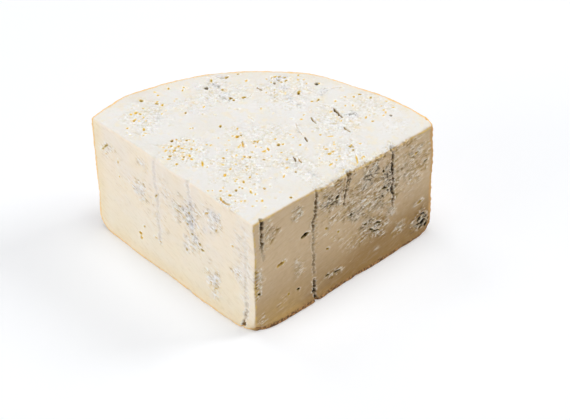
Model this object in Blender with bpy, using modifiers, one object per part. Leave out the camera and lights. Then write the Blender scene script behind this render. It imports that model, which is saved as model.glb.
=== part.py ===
"""Gorgonzola wedge: about a quarter of a blue cheese wheel that was first halved flat.

The wheel is turned about its axis, cut flat at half its height, then cut twice from the
rim towards the middle. The two cuts meet a little past the wheel's axis, in the upright
front edge. What is left has a cut top, two cut faces, the rind of the rim at the back and
the rind of the wheel's flat side underneath. It is one solid.

+Y runs from the front edge to the rind, +X is to the right of someone who looks at the
front edge, and +Z is up. The origin is under the middle of the piece, on what it stands on.
"""

import math

import bmesh
import bpy
from mathutils import Matrix, Vector, noise

# Driving dimensions, in metres and radians
RIM_RADIUS = 0.1326
HALF_WHEEL_HEIGHT = 0.0875
WEDGE_ANGLE = math.radians(94.0)
AXIS_TO_FRONT_EDGE = 0.0145
FRONT_EDGE_X = -0.0005
FRONT_EDGE_Y = -0.0734
RIM_EDGE_RADIUS = 0.0115

# The rim is not a true circle: (angle from +Y in degrees, how far it stands out, spread)
RIM_BULGES = (
    (-37.0, 0.0030, 7.0),
    (26.5, -0.0012, 5.0),
    (50.0, 0.0020, 8.0),
)
RIM_REACH = 0.024
# Slow waves of the surfaces: how high, how long, and a seed for each
RIM_WAVE = 0.0005
RIM_WAVE_LENGTH = 0.024
RIM_SEED = 3.0
FACE_WAVE = 0.0006
FACE_WAVE_LENGTH = 0.030
FACE_WAVE_REACH = 0.015
FACE_FOOT = 0.012
LEFT_SEED = 7.0
RIGHT_SEED = 11.0
TOP_WAVE = 0.0006
TOP_WAVE_LENGTH = 0.030
TOP_WAVE_REACH = 0.035
TOP_SEED = 17.0

# The lower end of the front edge is blunt, and the cut edges of the top are worn
BLUNT_CORNER_DEPTH = 0.0032
BLUNT_CORNER_SPREAD = 0.0070
BLUNT_CORNER_HEIGHT = 0.0090
TOP_EDGE_WEAR = 0.0005
# Along the right cut the top edge is broken from here on
BROKEN_EDGE_START = 0.048
BROKEN_EDGE_END = 0.053
BROKEN_EDGE_WIDTH = 0.0072
BROKEN_EDGE_DROP = 0.0014

# Spacing of the mesh lines that carry the uneven surface
RIM_STEPS = 132
RIM_EDGE_STEPS = 5
FACE_SPACING = 0.0065
EDGE_BAND = 0.0018
FOOT_LINES = (0.003, 0.007)

# Sides of a needle's channel, and how finely a hole is rounded
NEEDLE_SEGMENTS = 8
BALL_DETAIL = 1

# Needle tracks that the cuts laid open: the channel's radius, then (distance from the
# front edge, height) at points down the track
LEFT_TRACKS = (
    (0.0013, ((0.0070, 0.066), (0.0072, 0.040), (0.0076, 0.020), (0.0086, -0.004))),
    (0.0011, ((0.0560, 0.091), (0.0545, 0.075), (0.0540, 0.060), (0.0527, 0.034))),
    (0.0012, ((0.0860, 0.091), (0.0850, 0.070), (0.0842, 0.045), (0.0842, 0.020))),
)
RIGHT_TRACKS = (
    (0.0013, ((0.0062, 0.091), (0.0062, 0.080), (0.0056, 0.070), (0.0066, 0.058))),
    (0.0012, ((0.0490, 0.091), (0.0478, 0.070), (0.0465, 0.040), (0.0462, -0.004))),
    (0.0011, ((0.0742, 0.091), (0.0730, 0.080), (0.0712, 0.070), (0.0716, 0.061))),
    (0.0013, ((0.1096, 0.091), (0.1098, 0.070), (0.1094, 0.056), (0.1108, 0.043))),
)
TRACK_INSET = 0.0002
TRACK_TAPER = 0.8

# Holes in the top as (x, y, half length, half width, depth, turn in degrees)
TOP_HOLES = (
    (-0.0745, 0.0394, 0.0017, 0.0014, 0.0022, 0.0),
    (-0.0640, 0.0372, 0.0026, 0.0013, 0.0018, -20.0),
    (-0.0775, 0.0269, 0.0030, 0.0020, 0.0016, 70.0),
    (-0.0365, 0.0549, 0.0016, 0.0014, 0.0026, 0.0),
    (-0.0340, 0.0619, 0.0018, 0.0012, 0.0020, 60.0),
    (-0.0245, 0.0656, 0.0018, 0.0012, 0.0020, 20.0),
    (-0.0255, 0.0179, 0.0016, 0.0012, 0.0022, 90.0),
    (-0.0195, 0.0444, 0.0022, 0.0013, 0.0020, 0.0),
    (-0.0125, 0.0459, 0.0022, 0.0012, 0.0018, 10.0),
    (0.0055, 0.0604, 0.0015, 0.0013, 0.0022, 0.0),
    (0.0210, 0.0514, 0.0019, 0.0013, 0.0026, 100.0),
    (0.0317, 0.0604, 0.0019, 0.0016, 0.0028, 0.0),
    (0.0780, 0.0309, 0.0018, 0.0016, 0.0022, 0.0),
    (-0.0527, 0.0034, 0.0026, 0.0018, 0.0022, 0.0),
    (-0.0455, 0.0039, 0.0016, 0.0013, 0.0018, 0.0),
    (-0.0520, -0.0056, 0.0020, 0.0014, 0.0018, 40.0),
    (-0.0535, -0.0126, 0.0018, 0.0016, 0.0020, 0.0),
    (-0.0455, -0.0121, 0.0016, 0.0016, 0.0018, 0.0),
    (-0.0143, 0.0082, 0.0022, 0.0016, 0.0022, 20.0),
    (-0.0027, 0.0026, 0.0019, 0.0014, 0.0020, 0.0),
    (0.0110, -0.0001, 0.0018, 0.0014, 0.0024, 60.0),
    (0.0040, -0.0041, 0.0024, 0.0015, 0.0020, 60.0),
    (-0.0210, -0.0131, 0.0018, 0.0013, 0.0018, -30.0),
    (-0.0067, -0.0106, 0.0020, 0.0012, 0.0018, 0.0),
    (0.0030, -0.0136, 0.0014, 0.0012, 0.0018, 0.0),
    (-0.0070, -0.0201, 0.0014, 0.0012, 0.0018, 0.0),
    (0.0225, -0.0241, 0.0016, 0.0014, 0.0022, 0.0),
    (0.0425, -0.0068, 0.0022, 0.0017, 0.0022, 30.0),
    (-0.0155, -0.0466, 0.0017, 0.0014, 0.0022, 0.0),
    (0.0047, -0.0401, 0.0014, 0.0012, 0.0018, 0.0),
    (0.0207, -0.0481, 0.0015, 0.0013, 0.0020, 0.0),
)

# Cracks in the top as (half width, depth, points along the crack)
TOP_CRACKS = (
    (0.0013, 0.0045, ((0.0431, 0.0376), (0.0450, 0.0339), (0.0470, 0.0304), (0.0490, 0.0286))),
    (0.0009, 0.0030, ((0.0295, 0.0284), (0.0307, 0.0254), (0.0330, 0.0219))),
    (0.0009, 0.0030, ((0.0500, 0.0194), (0.0540, 0.0144))),
    (0.0010, 0.0030, ((0.0260, 0.0089), (0.0282, 0.0039))),
    (0.0009, 0.0030, ((0.0203, -0.0106), (0.0223, -0.0138))),
    (0.0008, 0.0025, ((-0.0050, 0.0561), (-0.0017, 0.0532))),
    (0.0009, 0.0025, ((-0.0110, 0.0034), (-0.0100, -0.0026))),
    (0.0011, 0.0032, ((-0.0213, -0.0436), (-0.0200, -0.0496), (-0.0170, -0.0541), (-0.0110, -0.0558))),
)

# Holes in the cut faces as (from the front edge, height, half length, half height, depth, turn)
LEFT_HOLES = (
    (0.1028, 0.0165, 0.0028, 0.0014, 0.0022, 80.0),
    (0.0600, 0.0310, 0.0019, 0.0010, 0.0014, -60.0),
    (0.0180, 0.0600, 0.0012, 0.0010, 0.0014, 0.0),
    (0.1315, 0.0705, 0.0032, 0.0007, 0.0010, -50.0),
    (0.0450, 0.0400, 0.0018, 0.0010, 0.0012, 0.0),
)
RIGHT_HOLES = (
    (0.0400, 0.0560, 0.0029, 0.0014, 0.0032, 12.0),
    (0.0205, 0.0445, 0.0030, 0.0012, 0.0026, 12.0),
    (0.0035, 0.0310, 0.0013, 0.0011, 0.0020, -30.0),
    (0.0572, 0.0515, 0.0013, 0.0009, 0.0018, -30.0),
    (0.0575, 0.0355, 0.0012, 0.0009, 0.0016, 0.0),
    (0.0645, 0.0130, 0.0028, 0.0009, 0.0016, -8.0),
    (0.0980, 0.0320, 0.0036, 0.0011, 0.0016, -25.0),
    (0.1345, 0.0130, 0.0034, 0.0018, 0.0022, -60.0),
    (0.1355, 0.0610, 0.0014, 0.0009, 0.0016, 0.0),
)

# Crumbs gone from the cut edges of the top as (from the front edge, half length, bite)
LEFT_EDGE_CRUMBS = (
    (0.0310, 0.0035, 0.0012),
    (0.0560, 0.0025, 0.0014),
    (0.0860, 0.0022, 0.0012),
    (0.1020, 0.0045, 0.0010),
)
RIGHT_EDGE_CRUMBS = (
    (0.0060, 0.0022, 0.0016),
    (0.0490, 0.0026, 0.0022),
    (0.0600, 0.0040, 0.0012),
    (0.0740, 0.0024, 0.0016),
    (0.0850, 0.0044, 0.0018),
    (0.0990, 0.0034, 0.0012),
    (0.1100, 0.0024, 0.0020),
    (0.1260, 0.0040, 0.0012),
)
# Crumbs gone from the lower cut edges, where the rind is brittle
LEFT_FOOT_CRUMBS = (
    (0.0200, 0.0030, 0.0009),
    (0.0570, 0.0024, 0.0009),
    (0.0780, 0.0028, 0.0008),
)
RIGHT_FOOT_CRUMBS = (
    (0.0470, 0.0030, 0.0012),
    (0.0800, 0.0034, 0.0008),
    (0.1180, 0.0030, 0.0009),
)

HALF_ANGLE = WEDGE_ANGLE / 2.0
FRONT_EDGE = Vector((FRONT_EDGE_X, FRONT_EDGE_Y, 0.0))
WHEEL_AXIS = Vector((FRONT_EDGE_X, FRONT_EDGE_Y + AXIS_TO_FRONT_EDGE, 0.0))
LEFT_ALONG = Vector((-math.sin(HALF_ANGLE), math.cos(HALF_ANGLE), 0.0))
RIGHT_ALONG = Vector((math.sin(HALF_ANGLE), math.cos(HALF_ANGLE), 0.0))
LEFT_INWARD = Vector((math.cos(HALF_ANGLE), math.sin(HALF_ANGLE), 0.0))
RIGHT_INWARD = Vector((-math.cos(HALF_ANGLE), math.sin(HALF_ANGLE), 0.0))
UP = Vector((0.0, 0.0, 1.0))
ON_PLANE = 0.00005
SAME_POINT = 0.00001
SHARP_ANGLE = math.radians(35.0)
SEED_STEP = Vector((1.0, 0.37, -0.71))
PASTE_COLOR = (0.84, 0.76, 0.60)
PASTE_ROUGHNESS = 0.55


def smoothstep(low, high, value):
    t = min(max((value - low) / (high - low), 0.0), 1.0)
    return t * t * (3.0 - 2.0 * t)


def wave(point, length, seed):
    """Smooth unevenness between about -1 and 1."""
    return 2.0 * noise.noise(point / length + seed * SEED_STEP)


def material(name, color, roughness):
    mat = bpy.data.materials.new(name)
    mat.use_nodes = True
    shader = mat.node_tree.nodes["Principled BSDF"]
    shader.inputs["Base Color"].default_value = (*color, 1.0)
    shader.inputs["Roughness"].default_value = roughness
    shader.inputs["Metallic"].default_value = 0.0
    mat.diffuse_color = (*color, 1.0)
    return mat


def turned_wheel():
    """The whole wheel, turned about +Z from half of its section."""
    height = 2.0 * HALF_WHEEL_HEIGHT
    section = [(0.0, height)]
    for upper in (True, False):
        for step in range(RIM_EDGE_STEPS + 1):
            turn = 0.5 * math.pi * step / RIM_EDGE_STEPS
            if not upper:
                turn += 0.5 * math.pi
            middle = height - RIM_EDGE_RADIUS if upper else RIM_EDGE_RADIUS
            section.append((
                RIM_RADIUS - RIM_EDGE_RADIUS + RIM_EDGE_RADIUS * math.sin(turn),
                middle + RIM_EDGE_RADIUS * math.cos(turn),
            ))
    section.append((0.0, 0.0))
    mesh = bpy.data.meshes.new("wheel_section")
    corners = [(radius, 0.0, z) for radius, z in section]
    mesh.from_pydata(corners, [(i, i + 1) for i in range(len(corners) - 1)], [])
    wheel = bpy.data.objects.new("wheel_section", mesh)
    bpy.context.scene.collection.objects.link(wheel)
    turn = wheel.modifiers.new("turned", "SCREW")
    turn.steps = RIM_STEPS
    turn.render_steps = RIM_STEPS
    turn.use_merge_vertices = True
    turn.merge_threshold = SAME_POINT
    bpy.context.view_layer.update()
    bm = bmesh.new()
    bm.from_mesh(wheel.evaluated_get(bpy.context.evaluated_depsgraph_get()).to_mesh())
    bpy.data.objects.remove(wheel)
    bmesh.ops.remove_doubles(bm, verts=bm.verts, dist=SAME_POINT)
    bmesh.ops.recalc_face_normals(bm, faces=bm.faces)
    bmesh.ops.translate(bm, verts=bm.verts, vec=WHEEL_AXIS)
    return bm


def cut_away(bm, point, outward):
    """One straight cut with a knife: what lies outward of the plane goes."""
    cut = bmesh.ops.bisect_plane(
        bm,
        geom=bm.verts[:] + bm.edges[:] + bm.faces[:],
        dist=0.1 * SAME_POINT,
        plane_co=point,
        plane_no=outward,
        clear_outer=True,
    )
    edges = [item for item in cut["geom_cut"] if isinstance(item, bmesh.types.BMEdge)]
    bmesh.ops.edgeloop_fill(bm, edges=edges)
    bmesh.ops.recalc_face_normals(bm, faces=bm.faces)


def score(bm, faces_on, point, normal):
    """A mesh line across the faces for which faces_on is true, without cutting through."""
    faces = [face for face in bm.faces if faces_on(face)]
    edges = {edge for face in faces for edge in face.edges}
    verts = {vert for face in faces for vert in face.verts}
    bmesh.ops.bisect_plane(
        bm,
        geom=faces + list(edges) + list(verts),
        dist=SAME_POINT,
        plane_co=point,
        plane_no=normal,
    )


def inside_left(point):
    return (point - FRONT_EDGE).dot(LEFT_INWARD)


def inside_right(point):
    return (point - FRONT_EDGE).dot(RIGHT_INWARD)


def on_top(face):
    return all(abs(vert.co.z - HALF_WHEEL_HEIGHT) < ON_PLANE for vert in face.verts)


def on_left(face):
    return all(abs(inside_left(vert.co)) < ON_PLANE for vert in face.verts)


def on_right(face):
    return all(abs(inside_right(vert.co)) < ON_PLANE for vert in face.verts)


def on_rim(face):
    return not (on_top(face) or on_left(face) or on_right(face) or on_bottom(face))


def on_bottom(face):
    return all(abs(vert.co.z) < ON_PLANE for vert in face.verts)


def marks(start, end, spacing):
    count = max(int(round((end - start) / spacing)), 1)
    return [start + (end - start) * index / count for index in range(1, count)]


def add_mesh_lines(bm):
    """Lines that let the cut surfaces and the rim be uneven."""
    reach = RIM_RADIUS + AXIS_TO_FRONT_EDGE
    heights = marks(RIM_EDGE_RADIUS, HALF_WHEEL_HEIGHT - EDGE_BAND, FACE_SPACING)
    heights += [*FOOT_LINES, RIM_EDGE_RADIUS, HALF_WHEEL_HEIGHT - EDGE_BAND]
    for faces_on, along in ((on_left, LEFT_ALONG), (on_right, RIGHT_ALONG)):
        for distance in [EDGE_BAND] + marks(EDGE_BAND, reach, FACE_SPACING):
            score(bm, faces_on, FRONT_EDGE + along * distance, along)
        for height in heights:
            score(bm, faces_on, UP * height, UP)
    for height in heights:
        if height > RIM_EDGE_RADIUS:
            score(bm, on_rim, UP * height, UP)
    for distance in [EDGE_BAND] + marks(EDGE_BAND, reach, FACE_SPACING):
        score(bm, on_top, FRONT_EDGE + LEFT_INWARD * distance, LEFT_INWARD)
        score(bm, on_top, FRONT_EDGE + RIGHT_INWARD * distance, RIGHT_INWARD)


def rim_offset(angle):
    return sum(
        bulge * math.exp(-0.5 * ((math.degrees(angle) - middle) / spread) ** 2)
        for middle, bulge, spread in RIM_BULGES
    )


def uneven(point):
    """Where a point of the exact form lies on the real, uneven piece."""
    moved = point.copy()
    from_axis = point - WHEEL_AXIS
    from_axis.z = 0.0
    radius = from_axis.length
    if radius > 0.0:
        angle = math.atan2(from_axis.x, from_axis.y)
        near_rim = smoothstep(RIM_RADIUS - RIM_REACH, RIM_RADIUS, radius)
        out = rim_offset(angle) + RIM_WAVE * wave(point, RIM_WAVE_LENGTH, RIM_SEED)
        moved += from_axis.normalized() * out * near_rim
    for inside, inward, seed in (
        (inside_left(point), LEFT_INWARD, LEFT_SEED),
        (inside_right(point), RIGHT_INWARD, RIGHT_SEED),
    ):
        near_face = 1.0 - smoothstep(0.0, FACE_WAVE_REACH, inside)
        near_face *= smoothstep(0.0, FACE_FOOT, point.z)
        moved += inward * FACE_WAVE * wave(point, FACE_WAVE_LENGTH, seed) * near_face
    blunt = math.exp(-0.5 * ((point - FRONT_EDGE).xy.length / BLUNT_CORNER_SPREAD) ** 2)
    blunt *= 1.0 - smoothstep(0.0, BLUNT_CORNER_HEIGHT, point.z)
    moved.y += BLUNT_CORNER_DEPTH * blunt
    near_top = smoothstep(HALF_WHEEL_HEIGHT - TOP_WAVE_REACH, HALF_WHEEL_HEIGHT, point.z)
    moved.z += TOP_WAVE * wave(point, TOP_WAVE_LENGTH, TOP_SEED) * near_top
    edge = min(inside_left(point), inside_right(point))
    wear = 1.0 - smoothstep(0.0, EDGE_BAND, edge)
    moved.z -= TOP_EDGE_WEAR * wear * near_top
    along_right = (point - FRONT_EDGE).dot(RIGHT_ALONG)
    broken = smoothstep(BROKEN_EDGE_START, BROKEN_EDGE_END, along_right)
    broken *= 1.0 - smoothstep(0.0, BROKEN_EDGE_WIDTH, inside_right(point))
    moved.z -= BROKEN_EDGE_DROP * broken * near_top
    return moved


def cutter(name, bm, collection):
    mesh = bpy.data.meshes.new(name)
    bmesh.ops.recalc_face_normals(bm, faces=bm.faces)
    bm.to_mesh(mesh)
    bm.free()
    obj = bpy.data.objects.new(name, mesh)
    obj.hide_render = True
    obj.display_type = "WIRE"
    collection.objects.link(obj)
    return obj


def add_ball(bm, middle, first, second, third):
    """An ellipsoid with half axes first, second and third, given as vectors."""
    frame = Matrix((first, second, third)).transposed().to_4x4()
    frame.translation = middle
    bmesh.ops.create_icosphere(bm, subdivisions=BALL_DETAIL, radius=1.0, matrix=frame)


def add_track(bm, track, along, inward):
    """A needle's channel, which lies half in a cut face and follows the track's points."""
    radius, points = track
    top = points[0][1]
    foot = points[-1][1]
    made = bmesh.ops.create_cone(
        bm,
        cap_ends=True,
        segments=NEEDLE_SEGMENTS,
        radius1=TRACK_TAPER * radius,
        radius2=radius,
        depth=top - foot,
        matrix=Matrix.Translation(UP * 0.5 * (top + foot)),
    )
    verts = set(made["verts"])
    for distance, height in points[1:-1]:
        faces = [face for face in bm.faces if all(vert in verts for vert in face.verts)]
        edges = {edge for face in faces for edge in face.edges}
        cut = bmesh.ops.bisect_plane(
            bm,
            geom=faces + list(edges) + list(verts),
            dist=SAME_POINT,
            plane_co=UP * height,
            plane_no=UP,
        )
        verts.update(item for item in cut["geom_cut"] if isinstance(item, bmesh.types.BMVert))
    for vert in verts:
        upper = points[0]
        lower = points[-1]
        for index in range(len(points) - 1):
            if points[index][1] >= vert.co.z - ON_PLANE >= points[index + 1][1] - 2.0 * ON_PLANE:
                upper = points[index]
                lower = points[index + 1]
        share = (vert.co.z - lower[1]) / (upper[1] - lower[1])
        distance = lower[0] + share * (upper[0] - lower[0])
        vert.co = (
            FRONT_EDGE
            + along * (distance + vert.co.x)
            + inward * (TRACK_INSET + vert.co.y)
            + UP * vert.co.z
        )


def face_hole(bm, hole, along, inward):
    distance, height, half_length, half_height, depth, turn = hole
    angle = math.radians(turn)
    lengthwise = along * math.cos(angle) + UP * math.sin(angle)
    crosswise = UP * math.cos(angle) - along * math.sin(angle)
    middle = FRONT_EDGE + along * distance + UP * height
    add_ball(bm, middle, lengthwise * half_length, crosswise * half_height, inward * depth)


def top_hole(bm, hole):
    x, y, half_length, half_width, depth, turn = hole
    angle = math.radians(turn)
    lengthwise = Vector((math.cos(angle), math.sin(angle), 0.0))
    crosswise = Vector((-math.sin(angle), math.cos(angle), 0.0))
    middle = Vector((x, y, HALF_WHEEL_HEIGHT))
    add_ball(bm, middle, lengthwise * half_length, crosswise * half_width, UP * depth)


def top_crack(bm, crack):
    half_width, depth, points = crack
    for start, end in zip(points, points[1:]):
        start = Vector((*start, HALF_WHEEL_HEIGHT))
        end = Vector((*end, HALF_WHEEL_HEIGHT))
        run = end - start
        crosswise = UP.cross(run).normalized()
        lengthwise = run.normalized() * (0.5 * run.length + half_width)
        add_ball(bm, (start + end) / 2.0, lengthwise, crosswise * half_width, UP * depth)


def edge_crumb(bm, crumb, along, height):
    distance, half_length, bite = crumb
    middle = FRONT_EDGE + along * distance + UP * height
    add_ball(bm, middle, along * half_length, UP.cross(along) * bite, UP * bite)


for old in list(bpy.data.objects):
    bpy.data.objects.remove(old)

cheese_collection = bpy.data.collections.new("gorgonzola")
bpy.context.scene.collection.children.link(cheese_collection)
cutter_collection = bpy.data.collections.new("gorgonzola_cutters")
bpy.context.scene.collection.children.link(cutter_collection)

body = turned_wheel()
cut_away(body, UP * HALF_WHEEL_HEIGHT, UP)
cut_away(body, FRONT_EDGE, -LEFT_INWARD)
cut_away(body, FRONT_EDGE, -RIGHT_INWARD)
add_mesh_lines(body)
for vert in body.verts:
    vert.co = uneven(vert.co)
bmesh.ops.triangulate(body, faces=body.faces)
bmesh.ops.recalc_face_normals(body, faces=body.faces)
cheese_mesh = bpy.data.meshes.new("gorgonzola_wedge")
body.to_mesh(cheese_mesh)
body.free()
cheese = bpy.data.objects.new("gorgonzola_wedge", cheese_mesh)
cheese_collection.objects.link(cheese)
cheese_mesh.materials.append(material("cheese_paste", PASTE_COLOR, PASTE_ROUGHNESS))

tracks = bmesh.new()
for track in LEFT_TRACKS:
    add_track(tracks, track, LEFT_ALONG, LEFT_INWARD)
for track in RIGHT_TRACKS:
    add_track(tracks, track, RIGHT_ALONG, RIGHT_INWARD)

holes = bmesh.new()
for hole in TOP_HOLES:
    top_hole(holes, hole)
for hole in LEFT_HOLES:
    face_hole(holes, hole, LEFT_ALONG, LEFT_INWARD)
for hole in RIGHT_HOLES:
    face_hole(holes, hole, RIGHT_ALONG, RIGHT_INWARD)

cracks = bmesh.new()
for crack in TOP_CRACKS:
    top_crack(cracks, crack)

crumbs = bmesh.new()
for along, top_crumbs, foot_crumbs in (
    (LEFT_ALONG, LEFT_EDGE_CRUMBS, LEFT_FOOT_CRUMBS),
    (RIGHT_ALONG, RIGHT_EDGE_CRUMBS, RIGHT_FOOT_CRUMBS),
):
    for crumb in top_crumbs:
        edge_crumb(crumbs, crumb, along, HALF_WHEEL_HEIGHT)
    for crumb in foot_crumbs:
        edge_crumb(crumbs, crumb, along, 0.0)

for name, shape in (
    ("needle_tracks", tracks),
    ("holes", holes),
    ("cracks", cracks),
    ("crumbled_edges", crumbs),
):
    cut = cheese.modifiers.new(name, "BOOLEAN")
    cut.operation = "DIFFERENCE"
    cut.solver = "EXACT"
    cut.use_self = True
    cut.object = cutter(name, shape, cutter_collection)

cheese_mesh.shade_smooth()
cheese_mesh.set_sharp_from_angle(angle=SHARP_ANGLE)
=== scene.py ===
"""Gorgonzola wedge: the fine surface, materials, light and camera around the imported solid."""
import math

import bpy
import numpy as np
from mathutils import Matrix, Vector, noise
from mathutils.geometry import delaunay_2d_cdt


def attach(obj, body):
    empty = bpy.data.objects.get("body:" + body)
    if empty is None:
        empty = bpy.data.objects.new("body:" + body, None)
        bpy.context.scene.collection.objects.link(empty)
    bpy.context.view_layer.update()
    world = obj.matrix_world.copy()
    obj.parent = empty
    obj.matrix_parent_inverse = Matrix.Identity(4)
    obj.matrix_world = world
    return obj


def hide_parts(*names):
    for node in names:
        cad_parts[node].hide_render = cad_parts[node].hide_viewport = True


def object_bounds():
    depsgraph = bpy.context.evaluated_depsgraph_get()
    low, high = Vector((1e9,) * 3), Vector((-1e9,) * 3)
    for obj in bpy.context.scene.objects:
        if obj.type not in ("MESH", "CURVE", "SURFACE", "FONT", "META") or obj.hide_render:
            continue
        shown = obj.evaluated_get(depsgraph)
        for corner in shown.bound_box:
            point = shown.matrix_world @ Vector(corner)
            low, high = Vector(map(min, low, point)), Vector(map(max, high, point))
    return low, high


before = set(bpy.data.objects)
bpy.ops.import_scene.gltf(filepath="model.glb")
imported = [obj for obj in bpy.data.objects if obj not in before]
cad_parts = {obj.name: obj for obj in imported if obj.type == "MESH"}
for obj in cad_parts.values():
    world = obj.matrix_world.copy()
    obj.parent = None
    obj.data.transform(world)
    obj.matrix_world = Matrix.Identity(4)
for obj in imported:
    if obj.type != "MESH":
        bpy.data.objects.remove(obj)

CAD_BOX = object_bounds()

# The wedge's form, as the solid has it. Lengths are millimetres until the mesh is written.
RIM_RADIUS = 132.6
HEIGHT = 87.5
HALF_ANGLE = math.radians(47.0)
FRONT = np.array([-0.5, -73.4])
FRONT_TO_AXIS = 14.5
AXIS = FRONT + [0.0, FRONT_TO_AXIS]
RIM_EDGE = 11.5
FOOT_LIP = 2.9
RIM_BULGES = ((-37.0, 3.0, 7.0), (26.5, -1.2, 5.0), (50.0, 2.0, 8.0))
LEFT_ALONG = np.array([-math.sin(HALF_ANGLE), math.cos(HALF_ANGLE)])
RIGHT_ALONG = np.array([math.sin(HALF_ANGLE), math.cos(HALF_ANGLE)])
LEFT_IN = np.array([math.cos(HALF_ANGLE), math.sin(HALF_ANGLE)])
RIGHT_IN = np.array([-math.cos(HALF_ANGLE), math.sin(HALF_ANGLE)])

# How far the knife dragged the paste upwards, going from the front edge to the rim
LEFT_DRAG = math.radians(22.0)
RIGHT_DRAG = math.radians(14.0)

# How deep below a surface its relief ends, and how far its stains and its look reach round an edge
RELIEF_FADE = 4.0
STAIN_REACH = 0.5
CUT_REACH = 0.6

# Spacing of the mesh points: along the borders, then in the surfaces where something fine is
CUT_BORDER_STEP = 0.42
LOW_BORDER_STEP = 0.7
RIM_TOP_STEP = 0.62
RIM_FOOT_STEP = 1.2
EDGE_STEP = 0.46
TORN_STEP = 0.60
HOLE_STEP = 0.46
SMALL_HOLE_STEP = 0.42
CRACK_STEP = 0.42
TRACK_STEP = 0.47
# Inner points lie in rows this far apart for each step, and the steps grow by this factor
ROW_PITCH = 0.866
STEP_GROWTH = 1.25
STEP_SHARE = 1.12

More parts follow.
